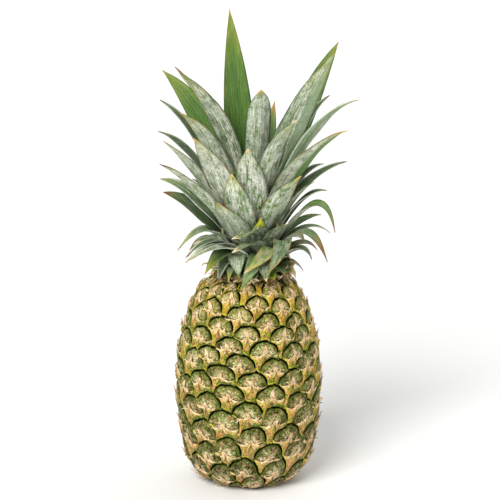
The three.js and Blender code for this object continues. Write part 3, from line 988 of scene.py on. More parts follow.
    def crest_line(self, i: int, radius: float, counts: tuple[int, int, int]) -> tuple[Array, Array]:
        """The whole upper border of eye i, from the foot of its right leg to the foot of its left leg.

        Args:
            i: the eye's place in the arrays.
            radius: the fruit's radius there, to measure by.
            counts: steps up to the first landing, between the landings, and on to the end.

        Returns:
            One row of (turn offset, length offset) for each point, and the share of the groove at each.
        """
        lower_right, lower_left = i - self.left_step, i - self.right_step
        to_right, _ = self.marks(lower_right, radius)
        _, to_left = self.marks(lower_left, radius)
        on_left, on_right = self.marks(i, radius)
        foot_right, foot_left = (
            np.array([self.offset(i, lower) + place, self.crest(lower, place) - self.lengths[i]])
            for lower, place in ((lower_right, to_right), (lower_left, to_left)))
        across = self.halves[i] * np.cos(np.linspace(0, math.pi, self.arch_points))
        over = np.stack([across, self.crest(i, across) - self.lengths[i]], 1)
        legs = np.linspace(0, 1, self.leg_points, endpoint=False)[:, None]
        line = np.concatenate([
            lerp(foot_right, over[0], legs), over, lerp(foot_left, over[-1], legs)[::-1]])
        run = run_length(line * [radius, 1.0])
        arch_run = run[self.leg_points:self.leg_points + self.arch_points]
        marks = [0.0, *(np.interp(-offset, -across, arch_run) for offset in (on_right, on_left)), run[-1]]
        spans = [np.linspace(start, end, steps, endpoint=False)
                 for start, end, steps in zip(marks, marks[1:], counts)]
        stops = np.concatenate([*spans, [run[-1]]])
        groove = 1.0
        for place, leg in ((stops, arch_run[0]), (run[-1] - stops, run[-1] - arch_run[-1])):
            groove = groove * smooth(place, leg * self.fade_from, leg + self.fade_past)
        return along_line(stops, run, line), groove


@dataclass
class Cells:
    """Every whole cell of the skin: an eye with its border, its bract's edge and its bract's tip."""

    outline: Outline
    spiral: EyeSpiral
    counts: tuple = (10, 5, 11)                 # steps along the three spans of a crest
    tip_rise: float = 1.6
    edge_dip: float = 3.4                       # how far the bract's edge dips on either side of its tip
    ease: float = 0.6                           # below this height the skin flattens out over the ground
    eyes: Array = field(init=False)
    places: Array = field(init=False)           # border points (cells, border, 2), turn and length offsets
    shares: Array = field(init=False)           # groove at each border point
    names: Array = field(init=False)            # shared number of each border point
    radius: Array = field(init=False)
    tips: Array = field(init=False)             # (cells, 2) in millimetres from the eye's centre

    def __post_init__(self) -> None:
        """Collects the border of every eye whose neighbours below it are there too."""
        spiral, (n1, n2, n3) = self.spiral, self.counts
        total = n1 + n2 + n3
        step_r, step_l = spiral.right_step, spiral.left_step
        below = step_r + step_l
        crests = {}
        for i in range(below, len(spiral.numbers) - below):
            radius = float(self.outline.at(spiral.lengths[i])[0])
            names = (i - below) * (total - 1) + np.arange(total + 1) - 1
            for end, lower, landing in ((0, i - step_l, n1 + n2), (total, i - step_r, n1)):
                names[end] = crests[lower][2][landing] if lower in crests else -1
            crests[i] = (*spiral.crest_line(i, radius, self.counts), names)
        whole = [i for i in crests if i - below in crests]
        borders = []
        for i in whole:
            border = []
            for other, start, end in ((i, 0, total), (i - step_r, n1, 0), (i - below, n1 + n2, n1),
                                      (i - step_l, total, n1 + n2)):
                steps = np.arange(start, end, 1 if end > start else -1)
                line, groove, names = (part[steps] for part in crests[other])
                shift = np.array([spiral.offset(i, other), spiral.lengths[other] - spiral.lengths[i]])
                border.append((line + shift, groove, names))
            borders.append([np.concatenate(part) for part in zip(*border)])
        self.eyes = np.array(whole)
        self.places, self.shares, self.names = (np.array(part) for part in zip(*borders))
        self.radius = self.outline.at(spiral.lengths[self.eyes])[0]
        draw = np.random.default_rng(spiral.seed + 1)
        count = len(self.eyes)
        self.tips = np.stack([draw.normal(0.4, 0.7, count), self.tip_rise + draw.normal(0, 0.5, count)], 1)

    @property
    def corners(self) -> int:
        """Place of the left corner in a border; the right corner is at 0."""
        return sum(self.counts)

    def ends(self) -> tuple[Array, Array, Array]:
        """Where every eye's crest ends.

        Returns:
            Half widths, heights of the left ends and heights of the right ends, in millimetres.
        """
        spiral, eyes = self.spiral, self.eyes
        half = spiral.halves[eyes]
        return half * self.radius, -half * spiral.tilts[eyes], half * spiral.tilts[eyes]

    def within(self, below: float, above: float) -> Array:
        """Numbers of the cells whose eye lies from below the ground plane's length to above the seat's."""
        lengths = self.spiral.lengths[self.eyes]
        return np.flatnonzero((lengths > below) & (lengths < self.outline.top + above))

    def edge(self, x: Array, grow: tuple) -> Array:
        """Height of the bract's upper edge at x millimetres beside the eye's centre.

        From the tip to either end of the crest it runs straight, less a dip of 4 s (1 - s) to the 0.8, with
        s the share of the way.

        Args:
            x: places, one row for each cell.
            grow: how each cell's own values are spread over the shape of x, such as (slice, None).

        Returns:
            The heights.
        """
        half, left_y, right_y = (value[grow] for value in self.ends())
        tip_x, tip_y = (value[grow] for value in self.tips.T)
        right = x > tip_x
        share = np.clip(np.where(right, (x - tip_x) / (half - tip_x), (tip_x - x) / (half + tip_x)), 0, 1)
        straight = lerp(tip_y, np.where(right, right_y, left_y), share)
        return straight - self.edge_dip * (4 * share * (1 - share)) ** 0.8

    def skin(self, turn: Array, length: Array, lift: Array) -> Array:
        """Points of the skin.

        What lies past either end of the outline is drawn back to it, and nothing goes below the ground.

        Args:
            turn: angle round the fruit from -Y towards +X.
            length: length along the outline.
            lift: height off the outline.

        Returns:
            Places in millimetres.
        """
        outline = self.outline
        length = np.clip(length, outline.lengths[0], outline.lengths[-1])
        radius, height, out_r, out_z = outline.at(length)
        inside = np.minimum(length, outline.top - length) / outline.fade_length
        lift = lift * lerp(outline.fade_least, 1.0, smooth(inside, 0, 1))
        reach = radius + out_r * lift
        z = height + out_z * lift
        z = np.where(z > self.ease, z, self.ease / (1 + np.maximum(self.ease - z, 0)))
        return np.stack([reach * np.sin(turn), -reach * np.cos(turn), z], -1)


@dataclass
class Rind:
    """The fruit's skin: one cell of fine relief for each eye, closed at the stalk and under the crown."""

    cells: Cells
    inner_rings: tuple = (0.14, 0.3, 0.46, 0.61, 0.75, 0.88, 1.0)
    outer_rings: tuple = (1.15, 0.62, 0.26, 0.0)  # distances from the cell's border
    inner_margin: float = 1.8
    groove_depth: float = 2.4
    dome_height: float = 2.6
    rim_height: float = 0.9
    under_bract: float = 0.1
    dome_fall: float = 1.1                        # by how much the dome is lower at its rim
    dip: tuple = (0.8, 1.5, 2.4)                  # depth, height up the eye and width of the middle's dip
    cap_cover: tuple = (0.6, 0, 1, 0)             # attribute cover of the skin that closes both ends: painted shade, part dark seam and full shadow
    # How far things reach, in millimetres from the border or from the bract's edge. Where there are values
    # for below and above the edge, they are the last two.
    edge_span: tuple = (-1.0, 1.0)
    shoulder_span: tuple = (0.6, 1.6)
    wall_span: tuple = (0.65, 1.4)
    seam_span: tuple = (0.7, 0.9, 1.45)
    ring_span: tuple = (1.2, 3.8)
    rim_span: tuple = (0.9, 2.0)
    shade_span: tuple = (-1.1, -0.1)
    sink_span: tuple = (-0.2, 1.8)

    def relief(self, x: Array, y: Array, q: Array, edge: Array) -> Array:
        """Height of an eye over the outline, without its grooves.

        It is a flattened dome that falls with the square of q, has a dip at the bract's tip and sinks under
        the bract.

        Args:
            x: millimetres beside the eye's centre.
            y: millimetres above it.
            q: share of the way to the border.
            edge: height of the bract's edge.

        Returns:
            The heights.
        """
        depth, above, width = self.dip
        dome = self.dome_height - self.dome_fall * q ** 2 - depth * bump(np.hypot(x, y - above), 0, width)
        return lerp(dome, self.under_bract, smooth(edge - y, *self.sink_span))

    def build(self, material: bpy.types.Material) -> bpy.types.Object:
        """Builds the relief of every cell on rings that shrink towards its middle.

        Args:
            material: the rind's finish.

        Returns:
            The rind.
        """
        cells, spiral, outline = self.cells, self.cells.spiral, self.cells.outline
        places, eyes, radius = cells.places, cells.eyes, cells.radius
        count, border, _ = places.shape
        turn0, length0 = spiral.turns[eyes], spiral.lengths[eyes]
        scale = np.stack([radius, np.ones(count)], 1)[:, None, :]
        reach = np.linalg.norm(places * scale, axis=2)
        inner = np.array(self.inner_rings)[None, :, None] * (reach - self.inner_margin)[:, None, :]
        outer = reach[:, None, :] - np.array(self.outer_rings)[None, :, None]
        ring_reach = np.concatenate([inner, outer], 1)
        rings = ring_reach.shape[1]
        spots = places[:, None] * (ring_reach / reach[:, None])[..., None]
        x, y = spots[..., 0] * radius[:, None, None], spots[..., 1]
        edge = cells.edge(x, (slice(None), None, None))
        height = self.relief(x, y, ring_reach / reach[:, None], edge)
        distance = reach[:, None, :] - ring_reach
        upper = smooth(y - edge, *self.edge_span)
        wall = 1 - smooth(distance, 0, lerp(*self.wall_span, upper))
        groove = cells.shares[:, None, :] * np.ones((1, rings, 1))
        rim = lerp(self.rim_height, height, upper)
        shoulder = lerp(height, rim, 1 - smooth(distance, *self.shoulder_span))
        height = lerp(shoulder, lerp(self.rim_height, -self.groove_depth, groove), wall)
        # seam_and_shade: the near-black groove, its own dark colour and painted shade
        seam_and_shade = groove * (1 - smooth(distance, self.seam_span[0], lerp(*self.seam_span[1:], upper)))
        ring = upper * groove * (1 - smooth(distance, *self.ring_span))
        # under: painted shadow on the dome along the bract's edge
        under = smooth(edge - y, *self.shade_span)
        lower = (1 - upper) * (1 - smooth(distance, *self.rim_span))

        hubs = ((x, 0), (y, 0), (seam_and_shade, 0), (ring, 0), (under - lower, 1), (height, self.dome_height - 1))
        x, y, seam_and_shade, ring, under, lift = (
            np.concatenate([grid.reshape(count, -1), np.full((count, 1), hub)], 1) for grid, hub in hubs)
        all_turn = turn0[:, None] + x / radius[:, None]
        all_length = length0[:, None] + y
        points = cells.skin(all_turn, all_length, lift)

        per_cell = rings * border + 1
        bands = halved(ring_quads(rings, border))
        corner = repeated(np.concatenate([fan(np.arange(border), rings * border), bands]), count, per_cell)
        share = np.clip(outline.at(all_length)[1] / outline.height, 0, 1).ravel()
        draws = np.repeat(spiral.draws[eyes], per_cell)
        eye = np.stack([x.ravel(), y.ravel(), draws], 1)
        cover = np.stack([seam_and_shade.ravel(), ring.ravel(), under.ravel(), share], 1)
        shared = np.arange(count * per_cell).reshape(count, per_cell)
        keys = np.full(count * per_cell, -1)
        keys[shared[:, (rings - 1) * border:rings * border].ravel()] = cells.names.ravel()
        return self.weld(points.reshape(-1, 3), all_length.ravel(), corner, keys, eye, cover, material)

    def weld(self, points: Array, length: Array, corner: Array, keys: Array, eye: Array, cover: Array,
             material: bpy.types.Material) -> bpy.types.Object:
        """Joins the cells along their borders, drops what collapsed at the ends and closes both ends.

        Args:
            points: vertices of all cells.
            length: how far along the outline each is.
            corner: triangles.
            keys: shared number of each vertex on a border, -1 for the others.
            eye: attribute of each vertex.
            cover: attribute of each vertex.
            material: the rind's finish.

        Returns:
            The rind.
        """
        outline = self.cells.outline
        low, high = outline.lengths[0] + TINY, outline.lengths[-1] - TINY
        beyond = np.where(length <= low, 1, np.where(length >= high, 2, 0))
        sides = beyond[corner]
        corner = corner[(sides.min(1) != sides.max(1)) | (sides.max(1) == 0)]
        named = np.flatnonzero(keys >= 0)
        _, first, key = np.unique(keys[named], return_index=True, return_inverse=True)
        target = np.arange(len(points))
        target[named] = named[first[key]]
        used, compact = np.unique(target[corner], return_inverse=True)
        compact = compact.reshape(-1, 3)
        points = points[used]
        edges = np.concatenate([compact[:, [0, 1]], compact[:, [1, 2]], compact[:, [2, 0]]])
        code = edges[:, 0] * len(points) + edges[:, 1]
        back = edges[:, 1] * len(points) + edges[:, 0]
        open_edges = edges[~np.isin(code, back)]
        poles = np.array([[0, 0, outline.hollow], [0, 0, outline.height]])
        pole = len(points) + (points[open_edges[:, 0], 2] > outline.height / 2)
        caps = np.stack([open_edges[:, 1], open_edges[:, 0], pole], 1)
        eye, cover = (
            np.concatenate([values[corner].reshape(-1, len(plain)), np.tile(plain, (caps.size, 1))])
            for values, plain in ((eye, (0, 0, 0)), (cover, self.cap_cover)))
        return make_piece("rind", np.concatenate([points, poles]), np.concatenate([compact, caps]),
                          "fruit", "rind", material, eye=eye, cover=cover)


@dataclass
class Bracts:
    """The flap that covers the lower half of each eye, from its pale upper edge down to the next crests."""

    cells: Cells
    columns: int = 19
    rows: int = 8
    inset: float = 0.75                         # how far it stays off a groove
    clear: float = 0.1                          # and off a border without one
    lip: float = 3.3                            # height of the edge at the tip
    lip_end: float = 1.5                        # and at the corners
    foot: float = 1.0
    thickness: float = 0.7
    reach: tuple = (-12.0, 6.0)                 # how far past both ends of the fruit eyes have a bract
    span: float = 0.965                         # how close it comes to the corners
    jags: tuple = ((0.3, 11, 50), (0.25, 27, 90))   # size, pace, phase by the eye's draw
    swell: float = 0.5
    crease: tuple = (0.22, 14, 30)              # as a jag, but in height

    def build(self, material: bpy.types.Material) -> bpy.types.Object:
        """Builds all flaps as one piece.

        A flap runs across in u from the left corner to the right and down in v from the edge to the border.
        Its surface falls from the lip to the foot with a smooth step of v and swells by a half sine of v.

        Args:
            material: the bracts' finish.

        Returns:
            The piece.
        """
        cells, spiral, outline = self.cells, self.cells.spiral, self.cells.outline
        kept = cells.within(*self.reach)
        u = np.linspace(-self.span, self.span, self.columns)
        border = np.array([self.lower_border(k, u) for k in kept])
        radius = cells.radius[kept]
        half = cells.ends()[0][kept]
        tip_x = cells.tips[kept, 0]
        x_edge = lerp(tip_x[:, None], np.where(u < 0, -1, 1) * half[:, None], np.abs(u))
        every = np.zeros((len(cells.eyes), self.columns))
        every[kept] = x_edge
        draws = spiral.draws[cells.eyes[kept]]
        jag = sum(size * np.sin(pace * u + phase * draws[:, None]) for size, pace, phase in self.jags)
        y_edge = cells.edge(every, (slice(None), None))[kept] + jag * (1 - u ** 2)
        v = (np.linspace(0, 1, self.rows) ** 1.3)[None, :, None]
        x = lerp(x_edge[:, None], border[:, None, :, 0], v)
        y = lerp(y_edge[:, None], border[:, None, :, 1], v)
        lip = lerp(self.lip, self.lip_end, np.abs(u) ** 1.3)[None, None, :]
        top = lerp(lip, self.foot, smooth(v, 0, 0.95)) + self.swell * np.sin(np.pi * v) * (1 - np.abs(u))
        size, pace, phase = self.crease
        crease = size * np.sin(pace * u + phase * draws[:, None])[:, None]
        top = top + crease * np.sin(np.pi * np.clip(v * 1.3, 0, 1))
        lift = top[..., None] + np.array([-self.thickness, 0.0])
        shape = lift.shape
        turn = (spiral.turns[cells.eyes[kept]][:, None, None] + x / radius[:, None, None])[..., None]
        length = (spiral.lengths[cells.eyes[kept]][:, None, None] + y)[..., None]
        points = cells.skin(np.broadcast_to(turn, shape), np.broadcast_to(length, shape), lift)
        faces = repeated(sheet_faces(self.rows, self.columns)[:, ::-1], len(kept),
                         self.columns * self.rows * 2)

        def spread(*grids: Array) -> Array:
            """Grids as columns, each repeated for both faces of the flap."""
            return np.stack([np.broadcast_to(grid[..., None], shape).ravel() for grid in grids], 1)

        depth = np.hypot(x - x_edge[:, None], y - y_edge[:, None])
        to_rim = np.hypot(x - border[:, None, :, 0], y - border[:, None, :, 1])
        side = np.abs(u)[None, None, :]
        share = np.clip(length[..., 0] / outline.top, 0, 1)
        return make_piece("bracts", points.reshape(-1, 3), faces, "fruit", "rind", material,
                          eye=spread(x - tip_x[:, None, None], y, draws[:, None, None]),
                          cover=spread(depth, to_rim, side, share))

    def lower_border(self, k: int, u: Array) -> Array:
        """Points along a cell's lower border, a little inside it.

        Args:
            k: the cell's number.
            u: shares of the way, from -1 at the left corner to 1 at the right one.

        Returns:
            One row of x, y for each.
        """
        cells = self.cells
        lower = [*range(cells.corners, cells.places.shape[1]), 0]
        path = cells.places[k, lower] * [cells.radius[k], 1.0]
        path = path - unit(path) * (self.inset * cells.shares[k, lower] + self.clear)[:, None]
        half, left_y, right_y = (value[k] for value in cells.ends())
        path = np.concatenate([[[-half, left_y]], path, [[half, right_y]]])
        run = run_length(path)
        return along_line((u + 1) / 2 * run[-1], run, path)


@dataclass
class BractTips:
    """Papery points on the bracts: a curled tongue at the tip of each and strands frayed off its edge."""

    cells: Cells
    rows: int = 8
    columns: int = 4
    thickness: float = 0.3
    frays: int = 4
    reach: tuple = (-8.0, 3.0)              # how far past both ends of the fruit eyes have them
    widths: tuple = ((2.4, 4.2), (0.6, 1.5))    # for a tongue and for a strand
    longs: tuple = ((4.5, 9.5), (2.5, 6.0))
    leans: tuple = ((0.6, 3.0), (0.4, 3.2))
    farthest: float = 8.5                   # a strand's root is from the tip, along the edge
    heading: tuple = (0.3, 0.5, 0.12)       # spread for a tongue and a strand, and lean by its place
    curl: float = 0.25
    taper: float = 1.6
    sunk: tuple = (1.6, 0.5)                # how far below the edge they start
    base: tuple = (2.9, 1.6)                # how high, at the tip and far from it
    seed: int = 21

    def build(self, material: bpy.types.Material) -> bpy.types.Object:
        """Builds every tongue and strand as one piece.

        A tongue runs along t from 0 to 1 and across u from -1 to 1. Its half width falls from the root to
        the point as 1 - t to a power; it climbs along the skin in its heading, leans out by the square of t
        and its sides roll up by the square of u.

        Args:
            material: the tips' finish.

        Returns:
            The piece.
        """
        cells, spiral = self.cells, self.cells.spiral
        draw = np.random.default_rng(self.seed)
        kept = cells.within(*self.reach)
        count, strands = len(kept), self.frays + 1
        shape = (count, strands)
        main = np.arange(strands)[None, :] == 0
        wide, long, lean = (np.where(main, draw.uniform(*tongue, shape), draw.uniform(*strand, shape))
                            for tongue, strand in (self.widths, self.longs, self.leans))
        side = np.where(main, 0.0, draw.uniform(-self.farthest, self.farthest, shape))
        tongue, strand, splay = self.heading
        heading = np.where(main, draw.normal(0, tongue, shape),
                           side * splay + draw.normal(0, strand, shape))
        every = np.zeros((len(cells.eyes), strands))
        every[kept] = cells.tips[kept, :1] + side
        start_y = cells.edge(every, (slice(None), None))[kept] - np.where(main, *self.sunk)
        base = lerp(*self.base, np.abs(side) / 9)
        grow = (slice(None), slice(None), None, None, None)
        t = np.linspace(0, 1, self.rows)[:, None, None]
        u = np.linspace(-1, 1, self.columns)[None, :, None]
        face = np.array([-0.5, 0.5])
        half = wide[grow] / 2 * (1 - t ** self.taper) + 0.1
        along = long[grow] * (t - 0.2 * t ** 3)
        curl = draw.normal(0, self.curl, shape)[grow] * long[grow] * t ** 2
        sine, cosine = np.sin(heading)[grow], np.cos(heading)[grow]
        x = every[kept][grow] + along * sine + (u * half + curl) * cosine
        y = start_y[grow] + along * cosine - (u * half + curl) * sine
        lift = base[grow] + lean[grow] * t ** 2 + 0.5 * u ** 2 * half + face * self.thickness
        radius = cells.radius[kept][:, None][grow]
        full = np.broadcast_shapes(x.shape, lift.shape)
        turn = np.broadcast_to(spiral.turns[cells.eyes[kept]][:, None][grow] + x / radius, full)
        length = np.broadcast_to(spiral.lengths[cells.eyes[kept]][:, None][grow] + y, full)
        points = cells.skin(turn, length, np.broadcast_to(lift, full))
        faces = repeated(sheet_faces(self.rows, self.columns)[:, ::-1], count * strands,
                         self.rows * self.columns * 2)
        number = draw.uniform(0, 1, shape)[grow]
        place = np.stack([np.broadcast_to(part, full) for part in (t, u, number)], -1)
        return make_piece("bract_tips", points.reshape(-1, 3), faces, "fruit", "rind", material,
                          tip=place.reshape(-1, 3))


# ---- Stalk ---------------------------------------------------------------------------------------

@dataclass
class Stalk:
    """The stub of the stalk in the base, cut across with a knife."""

    radius: float = 12.5
    depth: float = 6.0
    around: int = 72
    rings: int = 14
    hub_height: float = 0.05        # of the middle of the cut
    tear: float = 0.35              # how uneven the cut is
    ragged: float = 0.02            # and how uneven the side
    seed: int = 3

    def build(self, material: bpy.types.Material) -> bpy.types.Object:
        """Builds a drum whose lower end is a rough cut.

        Its radius runs from the middle out over the lower face, up the side and back in over the top, with
        shallow waves where fibres tore.

        Args:
            material: the stalk's finish.

        Returns:
            The stalk's end.
        """
        reach = np.concatenate([np.linspace(0.02, 1, self.rings), [1, 1], np.linspace(1, 0.02, 4)])
        height = np.concatenate([np.zeros(self.rings), [self.depth / 2], np.full(5, self.depth)])
        turn = np.linspace(0, 2 * math.pi, self.around, endpoint=False)
        draw = np.random.default_rng(self.seed)
        phases = draw.uniform(0, 2 * math.pi, 5)
        wave = sum(np.sin((k + 3) * turn + phase) for k, phase in enumerate(phases)) / 5
        rough = self.tear * (1 + wave[None, :]) * smooth(reach, 0.2, 0.9)[:, None] * (height == 0)[:, None]
        r = self.radius * reach[:, None] * (1 - self.ragged * (1 + wave[None, :]))
        points = np.stack([r * np.sin(turn), -r * np.cos(turn), height[:, None] + rough], -1)
        rows = len(reach)
        total = rows * self.around
        ring = np.arange(self.around)
        low, high = fan(ring, total), fan(ring + total - self.around, total + 1)[:, [0, 2, 1]]
        points = np.concatenate([points.reshape(-1, 3), [[0, 0, self.hub_height], [0, 0, self.depth]]])
        faces = np.concatenate([halved(ring_quads(rows, self.around)), low, high])
        return make_piece("stalk_end", points, faces, "stalk", "cut_stalk", material)


# ---- Crown ---------------------------------------------------------------------------------------

class Face(Enum):
    """The two faces of a leaf: the inner one looks up and in to the stem, the outer one down and out."""

    OUTER = 0
    INNER = 1


@dataclass(frozen=True)
class Dress:
    """How one leaf is coloured, each a share from 0 to 1 unless it says otherwise."""

    inner_bloom: float = 0.15       # silver on the inner face
    outer_bloom: float = 0.95       # silver on the back
    tip: float = 0.04               # share of the length that is dry at the tip
    brown: float = 0.5              # dry parts: 0 is cream, 1 nearly black
    lime: float = 0.35              # yellow-green before the tip
    margin: float = 0.0             # tan along the edges
    scar: float = 0.25              # bloom rubbed off in patches
    depth: float = 0.0              # darker green
    blotch: float = 0.0             # pinkish tan with brown spots
    stripe: float = 0.3             # green stripes through the bloom
    bare: float = 0.0               # side without bloom: -1 is the one behind the azimuth, 1 the one ahead
    painted_lit_side: float = 0.0               # painted highlight: the side whose back is painted smooth and pale as lit, in the same way
    rim: float = 0.65               # painted shadow along the very edge, or a pale edge below 0


@dataclass(frozen=True)
class Leaf:
    """One leaf: it leaves the stem at a height, in one upright plane, and bows by a bend on to its tip.

    azimuth is in degrees from +X towards +Y; bend and tip are (distance from the stem's axis, height); turn
    twists the blade about itself, sway carries its tip sideways and a taper above 1.8 blunts the tip. A
    leaf with a fold bows towards that third place too, (distance, height, sideways); shift carries its root
    and bend sideways. A hook curls the last of the tip by (sideways, up).
    """

    azimuth: float
    root: float
    bend: tuple
    tip: tuple
    width: float
    turn: float = 0.0
    sway: float = 0.0
    taper: float = 1.8
    dress: Dress = Dress()
    fold: tuple = ()
    shift: tuple = (0.0, 0.0)
    hook: tuple = (0.0, 0.0)


PLAIN = Dress()
GREEN = Dress(inner_bloom=0.05, tip=0.03, lime=0.3, scar=0.1, depth=0.25)
SILVER = Dress(outer_bloom=1.0, tip=0.04)
EDGED = Dress(outer_bloom=1.0, tip=0.05, margin=1.0)
SCRATCHED = Dress(outer_bloom=1.0, tip=0.05, brown=0.3, margin=0.9, scar=0.95)
DARK = Dress(inner_bloom=0.3, outer_bloom=0.8, tip=0.05, brown=0.8, lime=0.1, depth=0.8, stripe=0.6,
             rim=-0.5)
BLUE = Dress(inner_bloom=1.0, outer_bloom=1.0, tip=0.03, lime=0.3, scar=0.1, depth=0.4, stripe=0.9,
             rim=-0.4)
OLIVE = Dress(inner_bloom=0.3, outer_bloom=0.8, tip=0.2, brown=0.7, lime=0.6, margin=0.6, depth=0.4,
              blotch=0.2)
WITHERED = Dress(inner_bloom=0.2, tip=0.06, brown=0.25, blotch=0.35, lime=0.6, margin=0.9)
BURNT = Dress(inner_bloom=0.3, tip=0.2, brown=0.8, depth=0.6, lime=1.2)
GREY = Dress(inner_bloom=0.6, outer_bloom=0.9, tip=0.06, brown=0.1, lime=0.15, depth=0.75, scar=0.5)

HEART_LEAVES = (
    Leaf(145, 226, (13, 319), (23, 407), 25, turn=52, taper=1.9,
         dress=Dress(inner_bloom=0.05, tip=0.025, brown=0.4, lime=0.3, margin=0.5, scar=0.0, depth=0.2)),
    Leaf(155, 222, (33, 313), (83, 348), 25, turn=50, dress=GREEN),
    Leaf(216, 220, (18, 328), (78, 369), 18, turn=-38, hook=(-1, 4),
         dress=Dress(outer_bloom=1.0, tip=0.05, brown=0.75, margin=0.9, scar=0.4, depth=0.5)),
    Leaf(-70, 226, (19, 306), (30, 349), 22, sway=-3, taper=5.5,
         dress=Dress(outer_bloom=1.0, tip=0.035, brown=0.35, lime=0.0, scar=0.4)),
    Leaf(60, 226, (26, 287), (45, 319), 16, turn=-10, sway=4,
         dress=Dress(inner_bloom=0.1, tip=0.12, brown=0.5, lime=0.4, depth=0.3)),
    Leaf(25, 222, (49, 327), (80, 373), 21, turn=-55, taper=1.9, dress=GREEN),
    Leaf(-42, 220, (38, 317), (93, 391), 26, turn=38, taper=1.9,
         dress=Dress(outer_bloom=0.97, tip=0.015, lime=0.3, scar=0.3, stripe=0.6, painted_lit_side=0.9, depth=0.3)),
)

UPPER_LEAVES = (
    Leaf(-60, 214, (24, 299), (71, 330), 19, turn=15, taper=1.9, hook=(2, 2),
         dress=Dress(outer_bloom=1.0, tip=0.04, brown=0.1, scar=0.7, stripe=0.3)),
    Leaf(-5, 215, (37, 316), (65, 337.5), 17, turn=-25, dress=DARK),
    Leaf(-24, 212, (52, 330), (97, 343), 17, turn=20,
         dress=Dress(outer_bloom=0.9, tip=0.05, scar=0.1, stripe=0.8, painted_lit_side=-0.7, rim=-0.5)),
    Leaf(-36, 207, (37, 286), (98, 324), 26, turn=15, hook=(0, -2),
         dress=Dress(outer_bloom=1.0, tip=0.08, brown=0.4, margin=1.0, scar=0.6, bare=1)),
    Leaf(-50, 201, (31, 257), (61, 277), 23, turn=20, hook=(2, 2), dress=SCRATCHED),
    Leaf(25, 206, (43, 270), (67, 268), 13, dress=DARK),
    Leaf(6, 203, (40, 268), (80, 276), 17, turn=-10, dress=DARK),
    Leaf(172, 215, (43, 310), (78, 329), 13, turn=25, dress=DARK),
    Leaf(208, 214, (31, 303), (68, 330), 21, turn=-35, dress=EDGED),
    Leaf(228, 211, (40, 276), (72, 314), 26, turn=-25, taper=1.9,
         dress=Dress(outer_bloom=1.0, tip=0.05, brown=0.4, margin=1.0, scar=0.45, stripe=0.1)),
    Leaf(176, 209, (48, 295), (79, 303), 17, turn=10, dress=DARK),
    Leaf(202, 206, (52, 283), (80, 305), 18, turn=-20,
         dress=Dress(inner_bloom=0.7, outer_bloom=1.0, tip=0.04, margin=0.3)),
    Leaf(-98, 208, (26, 259), (38, 300.5), 34, sway=2, taper=2.0,
         dress=Dress(outer_bloom=1.0, tip=0.04, brown=0.2, margin=0.3, lime=0.1, scar=1.2, stripe=0.1)),
    Leaf(-112, 204, (38, 250), (45.3, 280), 27, taper=2.0, dress=SCRATCHED),
    Leaf(-129, 199, (30, 231), (46.3, 253.4), 36, dress=EDGED),
)

MIDDLE_LEAVES = (
    Leaf(-15, 200, (35, 253), (54, 265), 14, turn=10, dress=PLAIN),
    Leaf(-6, 197, (40, 257), (63, 255), 17, dress=DARK),
    Leaf(-18, 193, (61, 280), (73, 223), 18, dress=Dress(inner_bloom=0.1, margin=0.9, tip=0.08, brown=0.7)),
    Leaf(12, 194, (41, 231), (60, 228), 14, dress=PLAIN),
    Leaf(208, 203, (52, 269), (87, 288), 18, turn=-20,
         dress=Dress(outer_bloom=1.0, tip=0.08, brown=0.85, scar=0.6, margin=0.4)),
    Leaf(182, 199, (49, 260), (77, 264), 19, turn=25, dress=BLUE),
    Leaf(186, 195, (45, 245), (75, 254), 23, turn=25,
         dress=Dress(inner_bloom=0.25, tip=0.12, brown=0.75, depth=0.6, lime=0.1, margin=0.6)),
    Leaf(-78, 194, (29, 220), (36, 240), 20, taper=1.3,
         dress=Dress(outer_bloom=0.8, inner_bloom=0.3, tip=0.02, brown=0.3, lime=2.4, scar=0.9)),
    Leaf(-52, 192, (37, 230), (49, 236), 22, dress=GREY),
)

